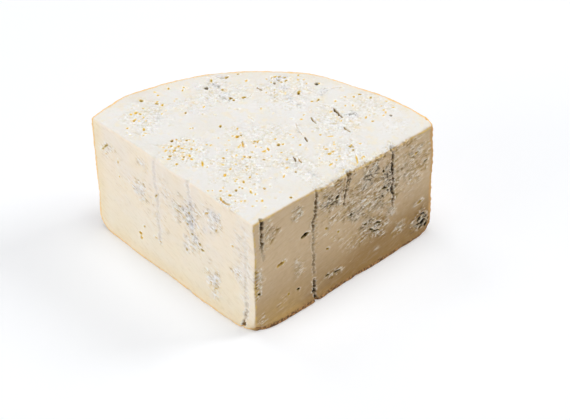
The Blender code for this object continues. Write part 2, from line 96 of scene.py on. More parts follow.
# Holes in the top: x, y, half axes, depth, turn in degrees, and how the wall looks:
# D dark, B brown, O ochre, K black, R a pale ring, which is a painted highlight on its raised lip. Scattered
# pits may also be P, a paler ochre.
TOP_HOLES = (
    (-74.5, 39.4, 1.3, 1, 2.2, 0, "D"), (-65.5, 37.6, 1.2, 0.7, 1.6, -30, "D"),
    (-62, 36.9, 0.7, 1, 1.4, 0, "B"), (-77.5, 27.7, 1.4, 0.8, 1.4, 40, "B"),
    (-75.1, 26.8, 0.9, 0.7, 1.3, -30, "B"), (-77.9, 21, 1.5, 0.7, 1.3, 60, "B"),
    (-81.5, 13.4, 0.7, 0.6, 1, 0, "B"), (-71.5, 12.8, 0.7, 1.2, 1.3, 20, "B"),
    (-70.5, 9.4, 0.9, 0.5, 1, 0, "B"), (-36.5, 54.9, 1.3, 1.3, 2.8, 0, "K"),
    (-34, 62.2, 0.7, 1.3, 2, 0, "D"), (-24.2, 65.6, 1.1, 0.7, 1.8, 30, "D"),
    (-17.5, 69.2, 0.7, 0.6, 1.2, 0, "D"), (-49.5, 53.9, 1.2, 0.8, 1, 0, "R"),
    (-59.5, 52.9, 0.7, 0.7, 1.2, 0, "B"), (-47.5, 29.9, 0.7, 0.7, 1.6, 0, "D"),
    (-29.5, 29.4, 0.8, 0.7, 0.9, 0, "R"), (-26.5, 53.7, 1, 0.7, 2, 30, "D"),
    (-20.5, 45.2, 1, 0.8, 1.8, 0, "D"), (-18.8, 43.7, 0.7, 0.7, 1.6, 0, "D"),
    (-12.5, 45.9, 1.3, 0.7, 1.6, 10, "D"), (-12, 62.4, 0.9, 0.6, 1, 40, "O"),
    (-16.3, 34.7, 1.1, 0.7, 1, 0, "R"), (5.5, 67.6, 1, 0.7, 1.6, 0, "B"),
    (5.5, 60.7, 0.8, 0.9, 2, 0, "K"), (21, 51.4, 0.8, 1.3, 2.6, 10, "D"),
    (31.8, 60.4, 1.3, 1.2, 2.8, 0, "K"), (20, 68.7, 0.6, 0.6, 1, 0, "B"),
    (33.1, 45.4, 0.7, 1.4, 1.8, -20, "D"), (29.5, 44, 0.9, 0.7, 1.4, 0, "B"),
    (50, 48.9, 0.7, 0.6, 1, 0, "B"), (55.5, 49.4, 0.7, 0.7, 1, 0, "B"),
    (59, 51.9, 1, 0.7, 1.2, 30, "D"), (65.7, 48.4, 0.7, 0.9, 1.4, 0, "D"),
    (78, 30.8, 0.9, 0.9, 2, 0, "K"), (74.8, 33.6, 0.4, 0.9, 1, 0, "O"),
    (73.5, 30.4, 0.5, 0.6, 1, 0, "O"), (63, 28.4, 0.6, 0.9, 1, 0, "O"),
    (59.8, 27.8, 1, 1, 1, 0, "R"), (67.1, 24.9, 0.7, 0.6, 1.2, 0, "B"),
    (98.8, 27.6, 0.7, 1.2, 1.2, 20, "D"), (35.8, 11.1, 0.7, 0.7, 1.6, 0, "B"),
    (42, 9.7, 1.5, 0.4, 0.6, 10, "O"), (11, -0.1, 0.9, 1.2, 2.4, -30, "D"),
    (8.8, 5.7, 0.7, 0.7, 1.2, 0, "B"), (-3.7, 3.1, 0.9, 0.7, 2, 0, "D"),
    (-1.8, 2.7, 0.6, 0.7, 1.4, 0, "B"), (5, -4.1, 0.7, 1.5, 2, 20, "O"),
    (2.5, -6.3, 1.3, 0.6, 1.2, -20, "O"), (-14.3, 7.7, 1.2, 1, 2.2, 0, "B"),
    (-12.2, 9.1, 0.8, 0.7, 1.6, 30, "D"), (-17.2, 8.4, 0.7, 0.4, 1, 0, "B"),
    (-25.3, 17.9, 0.7, 1.1, 2.2, 0, "D"), (-17.5, 16.9, 1.5, 1.2, 0.8, 0, "R"),
    (-14.8, 15.4, 0.5, 0.5, 1, 0, "O"), (-43.5, 15.4, 0.4, 0.4, 0.8, 0, "B"),
    (-41.7, 15.4, 0.4, 0.4, 0.8, 0, "B"), (1.5, 16.9, 1.3, 0.9, 0.8, 0, "R"),
    (-53.8, 3.4, 0.8, 1, 2, 0, "D"), (-51.4, 4.8, 0.7, 0.6, 1.4, 0, "B"),
    (-48.8, 3.4, 0.7, 0.7, 1.4, 0, "B"), (-44.9, 4, 0.8, 0.7, 1.5, 0, "D"),
    (-58, -3.2, 0.7, 0.4, 0.9, 20, "O"), (-56.5, -6.1, 0.5, 0.5, 0.8, 0, "O"),
    (-53.7, -2.1, 0.7, 0.6, 1.2, 0, "B"), (-51.5, -6.2, 0.7, 1, 1.6, 0, "B"),
    (-49.1, -1.8, 0.6, 1, 1.4, 20, "B"), (-46.9, -3.9, 0.9, 0.5, 1.2, -30, "O"),
    (-41.5, -4.6, 0.5, 1.1, 1, 0, "O"), (-35.8, -1.1, 1, 0.7, 0.9, 0, "R"),
    (-32.5, -0.4, 0.6, 0.6, 1, 0, "B"), (-37, -4.6, 0.9, 0.9, 0.9, 0, "R"),
    (-33.5, -5.2, 1.2, 1, 0.9, 0, "R"), (-53.5, -11.8, 0.9, 0.7, 1.6, 0, "D"),
    (-53.8, -14.5, 1, 0.6, 1.2, 0, "B"), (-45.5, -12.3, 0.8, 0.8, 1.6, 0, "D"),
    (-42, -10.6, 0.4, 0.8, 1, 0, "O"), (-40.3, -14.6, 0.9, 0.6, 1.2, -40, "O"),
    (-48.9, -19.4, 0.7, 0.7, 1.4, 0, "B"), (-38, -21.6, 1.5, 1.2, 1, 0, "R"),
    (-33.5, -19.1, 0.5, 2.1, 0.9, 10, "O"), (-28.8, -18.6, 1.3, 1, 0.9, 0, "R"),
    (-21.5, -13.1, 1.1, 0.7, 1.6, -30, "B"), (-16, -17.1, 0.9, 0.9, 0.8, 0, "R"),
    (-16.5, -22.9, 0.5, 1, 1.2, -30, "O"), (-8.9, -10.6, 0.9, 0.5, 1.2, -20, "B"),
    (-5.7, -10.8, 0.7, 0.7, 1.6, 0, "D"), (3, -13.9, 0.7, 0.6, 1.4, 0, "D"),
    (-7.1, -20.2, 0.7, 0.7, 1.8, 0, "D"), (-2.5, -18.9, 1, 1, 0.8, 0, "R"),
    (-19.5, -28.6, 0.6, 0.9, 1, -20, "O"), (-21.5, -19.1, 0.7, 0.4, 0.8, 0, "O"),
    (-0.5, -27.6, 0.7, 0.4, 0.8, 0, "O"), (-4.5, -30.6, 0.6, 0.9, 1.2, -10, "B"),
    (-7.8, -34.8, 0.5, 0.9, 1.1, 20, "B"), (-1.8, -37.1, 1.2, 1, 0.9, 0, "R"),
    (-12, -42.1, 0.7, 0.7, 1.2, 30, "D"), (-8.3, -40.6, 0.5, 0.4, 1, 0, "B"),
    (4.7, -40.2, 0.7, 0.7, 1.8, 0, "D"), (14.1, -43.2, 0.8, 0.8, 1.2, 0, "R"),
    (20.7, -48.2, 0.7, 0.7, 1.8, 0, "D"), (-15.5, -46.9, 1, 0.9, 2.2, 0, "B"),
    (-21.2, -43.2, 0.9, 0.7, 1.6, 0, "B"), (-28.7, -43.3, 0.4, 0.4, 0.8, 0, "O"),
    (-26.1, -42.9, 0.4, 0.4, 0.8, 0, "O"), (-23.5, -52.9, 0.5, 0.5, 0.9, 0, "O"),
    (-3.1, -43.6, 0.4, 1.3, 1, 20, "O"), (4, -51.1, 0.5, 1, 1, 10, "O"),
    (-1.3, -56.4, 0.7, 0.4, 0.8, 0, "B"), (14, -18.1, 1.3, 1.4, 0.9, 0, "R"),
    (15.5, -29.1, 0.4, 1.2, 1, -20, "O"), (22.5, -24.2, 0.7, 0.7, 1.8, 0, "D"),
    (24, 0.7, 0.7, 0.6, 0.8, 0, "O"), (27.5, -2.2, 0.7, 0.6, 0.8, 0, "R"),
    (42, -7.8, 1, 1, 1.6, 0, "B"), (44, -5.6, 0.7, 0.9, 1.4, 0, "B"),
    (39.8, -3.3, 1.3, 0.4, 0.8, 0, "O"), (35.5, -2.6, 0.9, 0.9, 0.8, 0, "R"),
    (43, -17.6, 0.5, 1.4, 1, -25, "O"), (54, 0.4, 0.8, 0.7, 1, 0, "D"),
    (56, -3.1, 0.8, 0.7, 1, 0, "D"), (53.5, -14.1, 1.2, 1, 0.8, 0, "R"),
    (58.3, -11.6, 0.4, 2.6, 0.8, 8, "O"), (60.5, -19.6, 0.9, 1, 1.8, 0, "D"),
    (67, -11.6, 1, 0.9, 1.8, 0, "D"), (64.7, -14.1, 0.7, 0.7, 1.4, 0, "D"),
    (77.5, 6.4, 1, 1, 0.8, 0, "R"), (8.2, 67.6, 0.9, 0.5, 1, 20, "D"),
    (11.8, 66.6, 0.8, 0.5, 1, -30, "D"), (8, 63.8, 0.7, 0.6, 1, 10, "D"),
    (12.6, 63.4, 0.9, 0.5, 1, 30, "D"), (10, 61.8, 0.8, 0.5, 1, -10, "D"),
)
# Holes in the cut faces: distance from the front edge, height, then as above
LEFT_HOLES = (
    (102.8, 18, 1.1, 1.2, 2.6, 0, "O"), (102.4, 14.6, 0.9, 1.4, 1.8, 10, "O"),
    (60, 31, 1.5, 0.8, 1.4, -60, "D"), (18, 60, 0.9, 0.7, 1.2, 0, "O"),
    (130.5, 71.8, 2.3, 0.6, 1, -50, "D"), (133, 68.6, 1.6, 0.5, 0.8, -45, "D"),
    (131, 65.8, 0.9, 0.5, 0.8, 0, "B"), (120, 65, 0.5, 0.9, 0.8, 0, "B"),
    (119.5, 54, 0.5, 0.5, 0.8, 0, "B"), (45, 40, 1.4, 0.8, 1.2, 10, "D"),
    (98.3, 26.5, 0.6, 0.9, 0.8, 30, "B"), (86, 58.2, 1.5, 0.5, 1.2, -50, "D"),
    (65, 58.6, 3.2, 0.5, 0.8, 3, "D"), (53.8, 57, 0.6, 1, 1.2, 0, "D"),
    (58.6, 52.6, 1.2, 0.6, 1.2, 30, "D"), (56.2, 62.5, 1, 0.6, 1, 60, "D"),
    (84, 22.2, 0.9, 0.6, 0.8, 0, "B"), (88, 23.4, 0.9, 0.5, 0.7, 20, "B"),
    (54.5, 46.5, 0.9, 0.5, 1, 30, "D"), (48, 43, 1.2, 0.5, 0.8, 30, "D"),
    (40.5, 72, 1.6, 0.5, 0.9, -40, "B"), (32, 63.5, 1.4, 0.5, 0.9, -60, "B"),
    (33.6, 22, 0.6, 0.9, 0.9, 0, "B"), (38.6, 18.2, 0.9, 0.5, 0.9, 20, "B"),
    (34.2, 15.4, 1.2, 0.5, 0.9, -20, "B"), (15, 39.4, 1.1, 0.5, 0.9, 20, "B"),
)
RIGHT_HOLES = (
    (40, 56, 3, 1.4, 3.2, 10, "D"), (20.5, 44.6, 2.9, 1.1, 2.8, 10, "B"),
    (3.6, 31, 1, 0.9, 2, -30, "D"), (57, 51.5, 1.2, 0.8, 1.8, -30, "B"),
    (57.4, 35.5, 1, 0.7, 1.6, 0, "B"), (33.6, 17, 1.1, 0.8, 1.2, 0, "D"),
    (26, 17.6, 0.8, 0.7, 0.7, 0, "B"), (57, 14.2, 1.4, 0.8, 1, -10, "D"),
    (64.8, 13, 2.8, 0.7, 1.4, -6, "D"), (0.8, 50.2, 0.8, 0.7, 1, 0, "B"),
    (98.4, 33.2, 2.4, 0.8, 1.6, -30, "D"), (93, 30.4, 1.7, 0.6, 1, -35, "D"),
    (97, 27.4, 2.8, 0.6, 1, -15, "D"), (88.4, 37.2, 1, 0.8, 1, 0, "D"),
    (94, 37.5, 1.3, 0.7, 1, 0, "D"), (76.6, 51.2, 1.2, 0.8, 1.4, -30, "D"),
    (102.5, 59, 2.2, 0.7, 1.2, -20, "D"), (101.6, 52.6, 1, 0.7, 1, -30, "D"),
    (102.2, 73.6, 0.8, 1.4, 1.2, 20, "D"), (64.8, 73.5, 1.7, 1, 1.2, 30, "D"),
    (62, 70.6, 3.1, 0.6, 0.9, 8, "D"), (132, 30.4, 1.7, 0.8, 1, 30, "B"),
    (135.6, 61.2, 1.3, 0.7, 1.2, 10, "D"), (66.4, 43.8, 0.9, 0.6, 0.7, -20, "B"),
    (128.8, 72.6, 1.4, 0.6, 0.8, 30, "B"), (132, 16, 2, 0.95, 1.2, 60, "K"),
    (135, 12, 2.3, 1.1, 1.3, 40, "K"), (137.5, 9, 1.9, 0.9, 1.2, 70, "K"),
    (134.5, 19, 1.9, 0.8, 1, -20, "K"), (137, 15.5, 1.7, 0.9, 1, 10, "K"),
    (133, 8.5, 1.3, 0.6, 1, 30, "K"), (139.5, 13, 1.1, 0.6, 0.9, 50, "K"),
    (132, 11.5, 1.2, 0.6, 1, 0, "K"),
)
# Small tears in a row up the front edge
TOOTH_SPACING = 3
RIGHT_HOLES += tuple((1.7, z, 1.5, 0.4, 0.6, 28, "B") for z in range(28, 51, TOOTH_SPACING))

# Cracks: half width, depth, how dark, and points along them
TOP_CRACKS = (
    (0.8, 3.6, 0.85, ((43, 37.6), (44.3, 35), (45.6, 33.4), (46.8, 30.6), (48.9, 28.5))),
    (0.35, 0.6, 0.3, ((33, 41.8), (37.5, 40.2), (41, 38.8), (43, 37.6))),
    (0.6, 1.8, 0.55, ((29.5, 28.4), (30.6, 25.4), (33, 21.9))),
    (0.55, 1.6, 0.5, ((49.8, 19.6), (51.6, 17.2), (54, 14.2))),
    (0.6, 1.8, 0.65, ((26.2, 8.6), (27.4, 6.4), (28.2, 3.9))),
    (0.55, 1.6, 0.75, ((20.3, -10.4), (21.4, -12.8), (22.4, -14.4))),
    (0.45, 1, 0.4, ((23.6, -12), (25.6, -16.2))),
    (0.55, 1.4, 0.55, ((-5, 56), (-3.4, 54.4), (-1.6, 53.2))),
    (0.75, 2, 0.08, ((-11.2, 3.4), (-10.6, 0.6), (-10, -2.6))),
    (0.85, 2.2, 0.08, ((-21, -48.6), (-20.2, -51), (-18.6, -53.2), (-16.4, -55), (-14, -55.7))),
    (0.5, 0.9, 0.08, ((-12, -55.6), (-10.4, -57.2))),
    (0.35, 0.5, 0.2, ((-9.8, 29.2), (-7, 26.4), (-5.2, 23.4))),
    (0.4, 0.6, 0.4, ((-31, 64.4), (-28, 64.9), (-24.5, 65.7))),
    (0.35, 0.5, 0.25, ((-14.4, 54), (-12.2, 57), (-8.2, 57.4), (-5, 56))),
    (0.35, 0.5, 0.25, ((-11.4, 44.4), (-8.8, 46.6), (-7.6, 49.8))),
    (0.35, 0.5, 0.3, ((20.4, 22.6), (21.6, 17.4), (23.8, 12.4), (26.2, 8.6))),
    (0.3, 0.4, 0.2, ((0.4, 50.6), (5.4, 47.4), (11.4, 43.6), (17.4, 39.8), (22, 38))),
    (0.35, 0.5, 0.3, ((36.6, 56.4), (42, 57.4), (48.6, 58.8))),
)
# Needle tracks: channel radius, and (distance from the front edge, height, how dark)
LEFT_TRACKS = (
    (1.6, ((7, 70, 0), (7, 58, 0.02), (7.2, 40, 0.06), (7.5, 26, 0.1), (8, 14, 0.18),
           (8.6, 7, 0.35), (8.8, -2, 0.8))),
    (1.2, ((56.2, 90, 0.1), (55.6, 82, 0.12), (54.4, 74, 0.08), (54.2, 62, 0.15), (53.2, 46, 0.1),
           (52.9, 34, 0.05))),
    (1.4, ((86, 90, 0.08), (85.2, 72, 0.04), (84.8, 59, 0.1), (84.2, 45, 0.04), (83.8, 30, 0.05),
           (84.3, 19, 0.16))),
)
RIGHT_TRACKS = (
    (1.35, ((6.3, 90, 0.7), (6.6, 82, 0.9), (5.9, 74, 0.5), (5.7, 68, 0.6), (6.3, 62, 0.1),
           (6.8, 54, 0))),
    (1, ((49.2, 90, 0.1), (48.6, 80, 0.5), (47.8, 67, 0.35), (46.4, 61, 0.4), (46.9, 53, 0.2),
           (46.2, 40, 0.2), (46.3, 32, 0.3), (46.4, 18, 0.25))),
    (1.3, ((46.4, 16, 0.7), (46.4, 13, 1), (46.1, 4, 1), (45.8, -2, 1))),
    (0.9, ((74.4, 90, 0.3), (73.4, 82, 0.8), (71.5, 73, 0.5), (70.6, 69, 0.8), (71.6, 62, 0.4))),
    (0.8, ((76, 88, 0.4), (74.6, 80, 0.5), (72.8, 74, 0.2))),
    (1.1, ((109.6, 90, 0.9), (110.2, 80, 0.7), (109.2, 71, 1), (110.2, 62, 0.7), (109, 56, 1),
            (110.8, 48, 0.9), (110.2, 44, 0.7), (110, 37, 0.1))),
)
# Blue mould: place, half axes, turn in degrees, strength
TOP_MOULD = (
    (-31.5, 57.5, 8, 3.6, -15, 0.75), (-24, 48, 9, 4.6, -60, 0.65), (-39, 41.5, 10, 3, -20, 0.25),
    (9.5, 65, 6.5, 4.6, 0, 1), (11.5, 57, 4.5, 4, 0, 0.6), (22.5, 62.5, 5, 2.4, 0, 0.3),
    (17, 45, 9.5, 3.2, -42, 0.7), (7, 46.8, 9, 2.2, -35, 0.4), (36.5, 53.5, 4, 4.4, 0, 0.7),
    (43, 57, 7.5, 1.6, 8, 0.5), (53, 32, 6.5, 5, -20, 0.85), (43, 23.5, 8, 3.6, -12, 0.45),
    (50, 18.5, 6, 2.4, -45, 0.45), (22.5, 15, 2.4, 8, 12, 0.45), (19, -16, 7, 4.4, -35, 0.45),
    (26, -19.5, 6, 3, -30, 0.35), (33, -26.5, 6, 2.8, -50, 0.6), (54.5, -1.2, 3.6, 5, 20, 0.6),
    (-64, 24, 4.6, 5, 0, 0.5), (-40, 32, 12, 3.4, 5, 0.28), (-75, 9.8, 5, 3, 0, 0.35),
    (-27, 64.8, 5, 1.6, 8, 0.6), (-10.5, 56.4, 5, 2, 0, 0.35), (60, 10, 7, 2, -25, 0.3),
    (60, 51.8, 3, 2.4, 0, 0.4), (-44, 54, 6, 2.2, 0, 0.22), (62.5, 27.5, 4.5, 3, 0, 0.35),
    (-34, -3.4, 3.4, 3.4, 0, 0.25), (-53, -13.5, 3, 2.6, 0, 0.3), (28.5, 45.5, 7, 2, -15, 0.3),
)
LEFT_MOULD = (
    (55.5, 56, 5.6, 9, 10, 1), (59, 62.5, 7, 5.5, -10, 0.7), (56, 70, 5, 6, 0, 0.55),
    (51, 44.5, 6.5, 4, 35, 0.8), (60.5, 33, 3.4, 5.6, 20, 0.55), (60, 40, 4.5, 4, 0, 0.45),
    (36, 73, 8, 5.6, -30, 0.75), (36.5, 64.5, 6.5, 4.4, -30, 0.55), (42.5, 57.5, 3.4, 4.6, 20, 0.4),
    (15.5, 40, 4, 4.4, 0, 0.6), (36.5, 21.5, 5.6, 5.6, -20, 0.7), (37.5, 8.8, 4, 3, -30, 0.3),
    (101, 54, 6.5, 6, -10, 0.62), (92, 54.2, 4, 1.8, -12, 0.5), (98, 76.5, 4.6, 2.8, -15, 0.5),
    (70, 60, 8, 7, 0, 0.3), (77, 63, 6, 8, 0, 0.2), (128.5, 70.5, 4.6, 3, -40, 0.4),
    (114, 60, 10, 7, 20, 0.18), (7, 30, 3, 26, 0, 0.3),
    (9, 52, 10, 40, 0, 0.38),
)
RIGHT_MOULD = (
    (62, 73, 10, 7, 15, 0.7), (58, 80, 8, 3, 0, 0.4), (92, 76, 12, 9, 0, 0.75),
    (97, 83, 9, 3, 0, 0.4), (88, 69, 8, 5, 10, 0.6), (106, 62, 9, 15, 0, 0.8),
    (82, 49, 9, 9, -30, 0.62), (96, 48, 10, 9, 0, 0.5), (97, 31, 6.5, 6, -10, 1),
    (90, 38, 8, 5, 0, 0.6), (108, 36, 7, 8, 0, 0.5), (118, 62, 12, 16, 10, 0.42),
    (128, 74, 8, 6, 20, 0.45), (116, 20, 6, 4.6, 0, 0.5), (134.5, 13, 5, 7.5, -20, 1.2),
    (130, 30, 5, 3.6, 20, 0.5), (34, 33.5, 4.6, 7, -20, 0.4), (12, 74, 6, 6.5, -20, 0.35),
    (35, 78, 4, 4.6, 0, 0.38), (3, 45, 4.6, 5.6, 0, 0.5), (57, 14, 3, 2.4, 0, 0.5),
    (65, 13, 4.6, 1.8, 0, 0.6), (98, 12.5, 3, 3, 0, 0.4), (80, 62, 12, 10, 0, 0.3),
    (5.8, 72, 2.2, 16, 0, 0.5), (135, 61, 3, 2.4, 0, 0.5), (125, 46, 10, 8, 0, 0.25),
)
# Paste torn by the knife: place, half axes, turn in degrees, strength
TOP_TORN = (
    (-28, 52, 20, 14, -40, 0.85), (14, 52, 22, 20, -20, 0.85), (46, 26, 22, 18, -20, 0.9),
    (20, -16, 18, 12, -30, 0.9), (-46, -8, 20, 16, 0, 0.95), (-12, -20, 26, 24, 0, 0.75),
    (-70, 22, 16, 18, 0, 0.7), (50, -8, 20, 18, 0, 0.85), (-16, -50, 14, 12, 0, 0.8),
    (0, 10, 32, 14, 0, 0.6), (64, 40, 20, 16, 0, 0.6), (32, -30, 16, 10, -40, 0.6),
    (82, 22, 12, 10, 0, 0.4), (-44, 38, 18, 10, 0, 0.5), (38, -36, 9, 4, 43, 0.9),
    (54, -20, 14, 5, 43, 1.1), (74, -3, 14, 5, 43, 1.1),
)
LEFT_TORN = (
    (58, 60, 16, 18, 0, 0.9), (36, 69, 12, 12, -30, 0.9), (74, 66, 14, 14, 0, 0.5),
    (52, 40, 14, 10, 0, 0.7), (99, 56, 12, 12, 0, 0.7), (37, 20, 9, 13, 0, 0.8),
    (15, 40, 7, 8, 0, 0.7), (98, 76, 8, 6, 0, 0.6), (128, 70, 10, 8, -30, 0.5),
    (86, 40, 16, 16, 0, 0.3), (118, 50, 14, 20, 0, 0.2),
)
RIGHT_TORN = (
    (92, 62, 44, 30, 0, 0.75), (96, 32, 18, 14, 0, 0.95), (62, 74, 14, 14, 0, 0.95),
    (13, 72, 8, 12, 0, 0.8), (35, 77, 7, 7, 0, 0.9), (34, 33, 7, 11, 0, 0.45),
    (61, 13, 12, 5, 0, 0.7), (116, 19, 10, 8, 0, 0.6), (134, 14, 8, 12, 0, 1),
    (6, 8, 7, 7, 0, 0.6), (3, 42, 5, 14, 0, 0.7), (20, 12, 10, 6, 0, 0.35),
    (128, 66, 16, 22, 0, 0.6), (76, 30, 14, 10, 0, 0.35), (47, 60, 6, 24, 0, 0.5),
    (70, 86, 20, 4, 0, 1), (100, 86, 24, 4, 0, 1), (125, 84, 14, 4, 0, 0.7),
)
# Small pits, scattered by a seeded draw: middle, half axes, how many
TOP_PITS = (
    (-48, -6, 14, 12, 24), (-8, -18, 26, 22, 32), (-76, 20, 9, 16, 14),
    (48, -6, 16, 16, 22), (60, 36, 20, 16, 20), (0, 10, 40, 30, 22),
    (-4, -46, 18, 14, 16), (10, 58, 30, 9, 16), (-50, 40, 30, 16, 12),
)
SEED = 4270


def smoothstep(low, high, value):
    t = np.clip((value - low) / (high - low), 0.0, 1.0)
    return t * t * (3.0 - 2.0 * t)


def bell(value, spread, middle=0.0):
    """1 at the middle, falling to 0 on both sides of it."""
    return np.exp(-(((value - middle) / spread) ** 2))


draw = np.random.RandomState(SEED)
SHUFFLE = np.tile(draw.permutation(256), 2)
SLOPES = draw.normal(size=(256, 3))
SLOPES /= np.linalg.norm(SLOPES, axis=1)[:, None]


def ripple(seed, *coords):
    """Smooth noise between about -1 and 1 for two or three coordinates, already scaled."""
    axes = [np.asarray(axis, float) + 17.3 * seed * (k + 1) for k, axis in enumerate(coords)]
    if len(axes) == 2:
        axes.append(np.full_like(axes[0], 0.37 + 1.7 * seed))
    cell = [np.floor(axis).astype(int) for axis in axes]
    part = [axis - corner for axis, corner in zip(axes, cell)]
    fade = [t * t * t * (t * (6.0 * t - 15.0) + 10.0) for t in part]
    total = np.zeros_like(axes[0])
    for corner in np.ndindex(2, 2, 2):
        pick = SHUFFLE[(cell[0] + corner[0]) & 255]
        pick = SHUFFLE[pick + ((cell[1] + corner[1]) & 255)]
        slope = SLOPES[SHUFFLE[pick + ((cell[2] + corner[2]) & 255)]]
        weight = 1.0
        value = 0.0
        for k in range(3):
            weight = weight * (fade[k] if corner[k] else 1.0 - fade[k])
            value = value + slope[:, k] * (part[k] - corner[k])
        total += weight * value
    return 1.7 * total


def waver(seed, s, length):
    """The same noise along a line."""
    return ripple(seed, s / length, 0.0 * s)


def turned(u, v, angle):
    return u * math.cos(angle) + v * math.sin(angle), v * math.cos(angle) - u * math.sin(angle)


def from_line(u, v, points):
    """Distance from a bent line, and the third value of its points at the nearest place."""
    best = np.full_like(u, 1e9)
    value = np.zeros_like(u)
    share = np.zeros_like(u)
    for k, (first, second) in enumerate(zip(points, points[1:])):
        du, dv = second[0] - first[0], second[1] - first[1]
        t = np.clip(((u - first[0]) * du + (v - first[1]) * dv) / (du * du + dv * dv), 0.0, 1.0)
        distance = np.hypot(u - first[0] - t * du, v - first[1] - t * dv)
        nearer = distance < best
        best = np.where(nearer, distance, best)
        share = np.where(nearer, (k + t) / (len(points) - 1), share)
        if len(first) > 2:
            value = np.where(nearer, first[2] + t * (second[2] - first[2]), value)
    return best, value, share


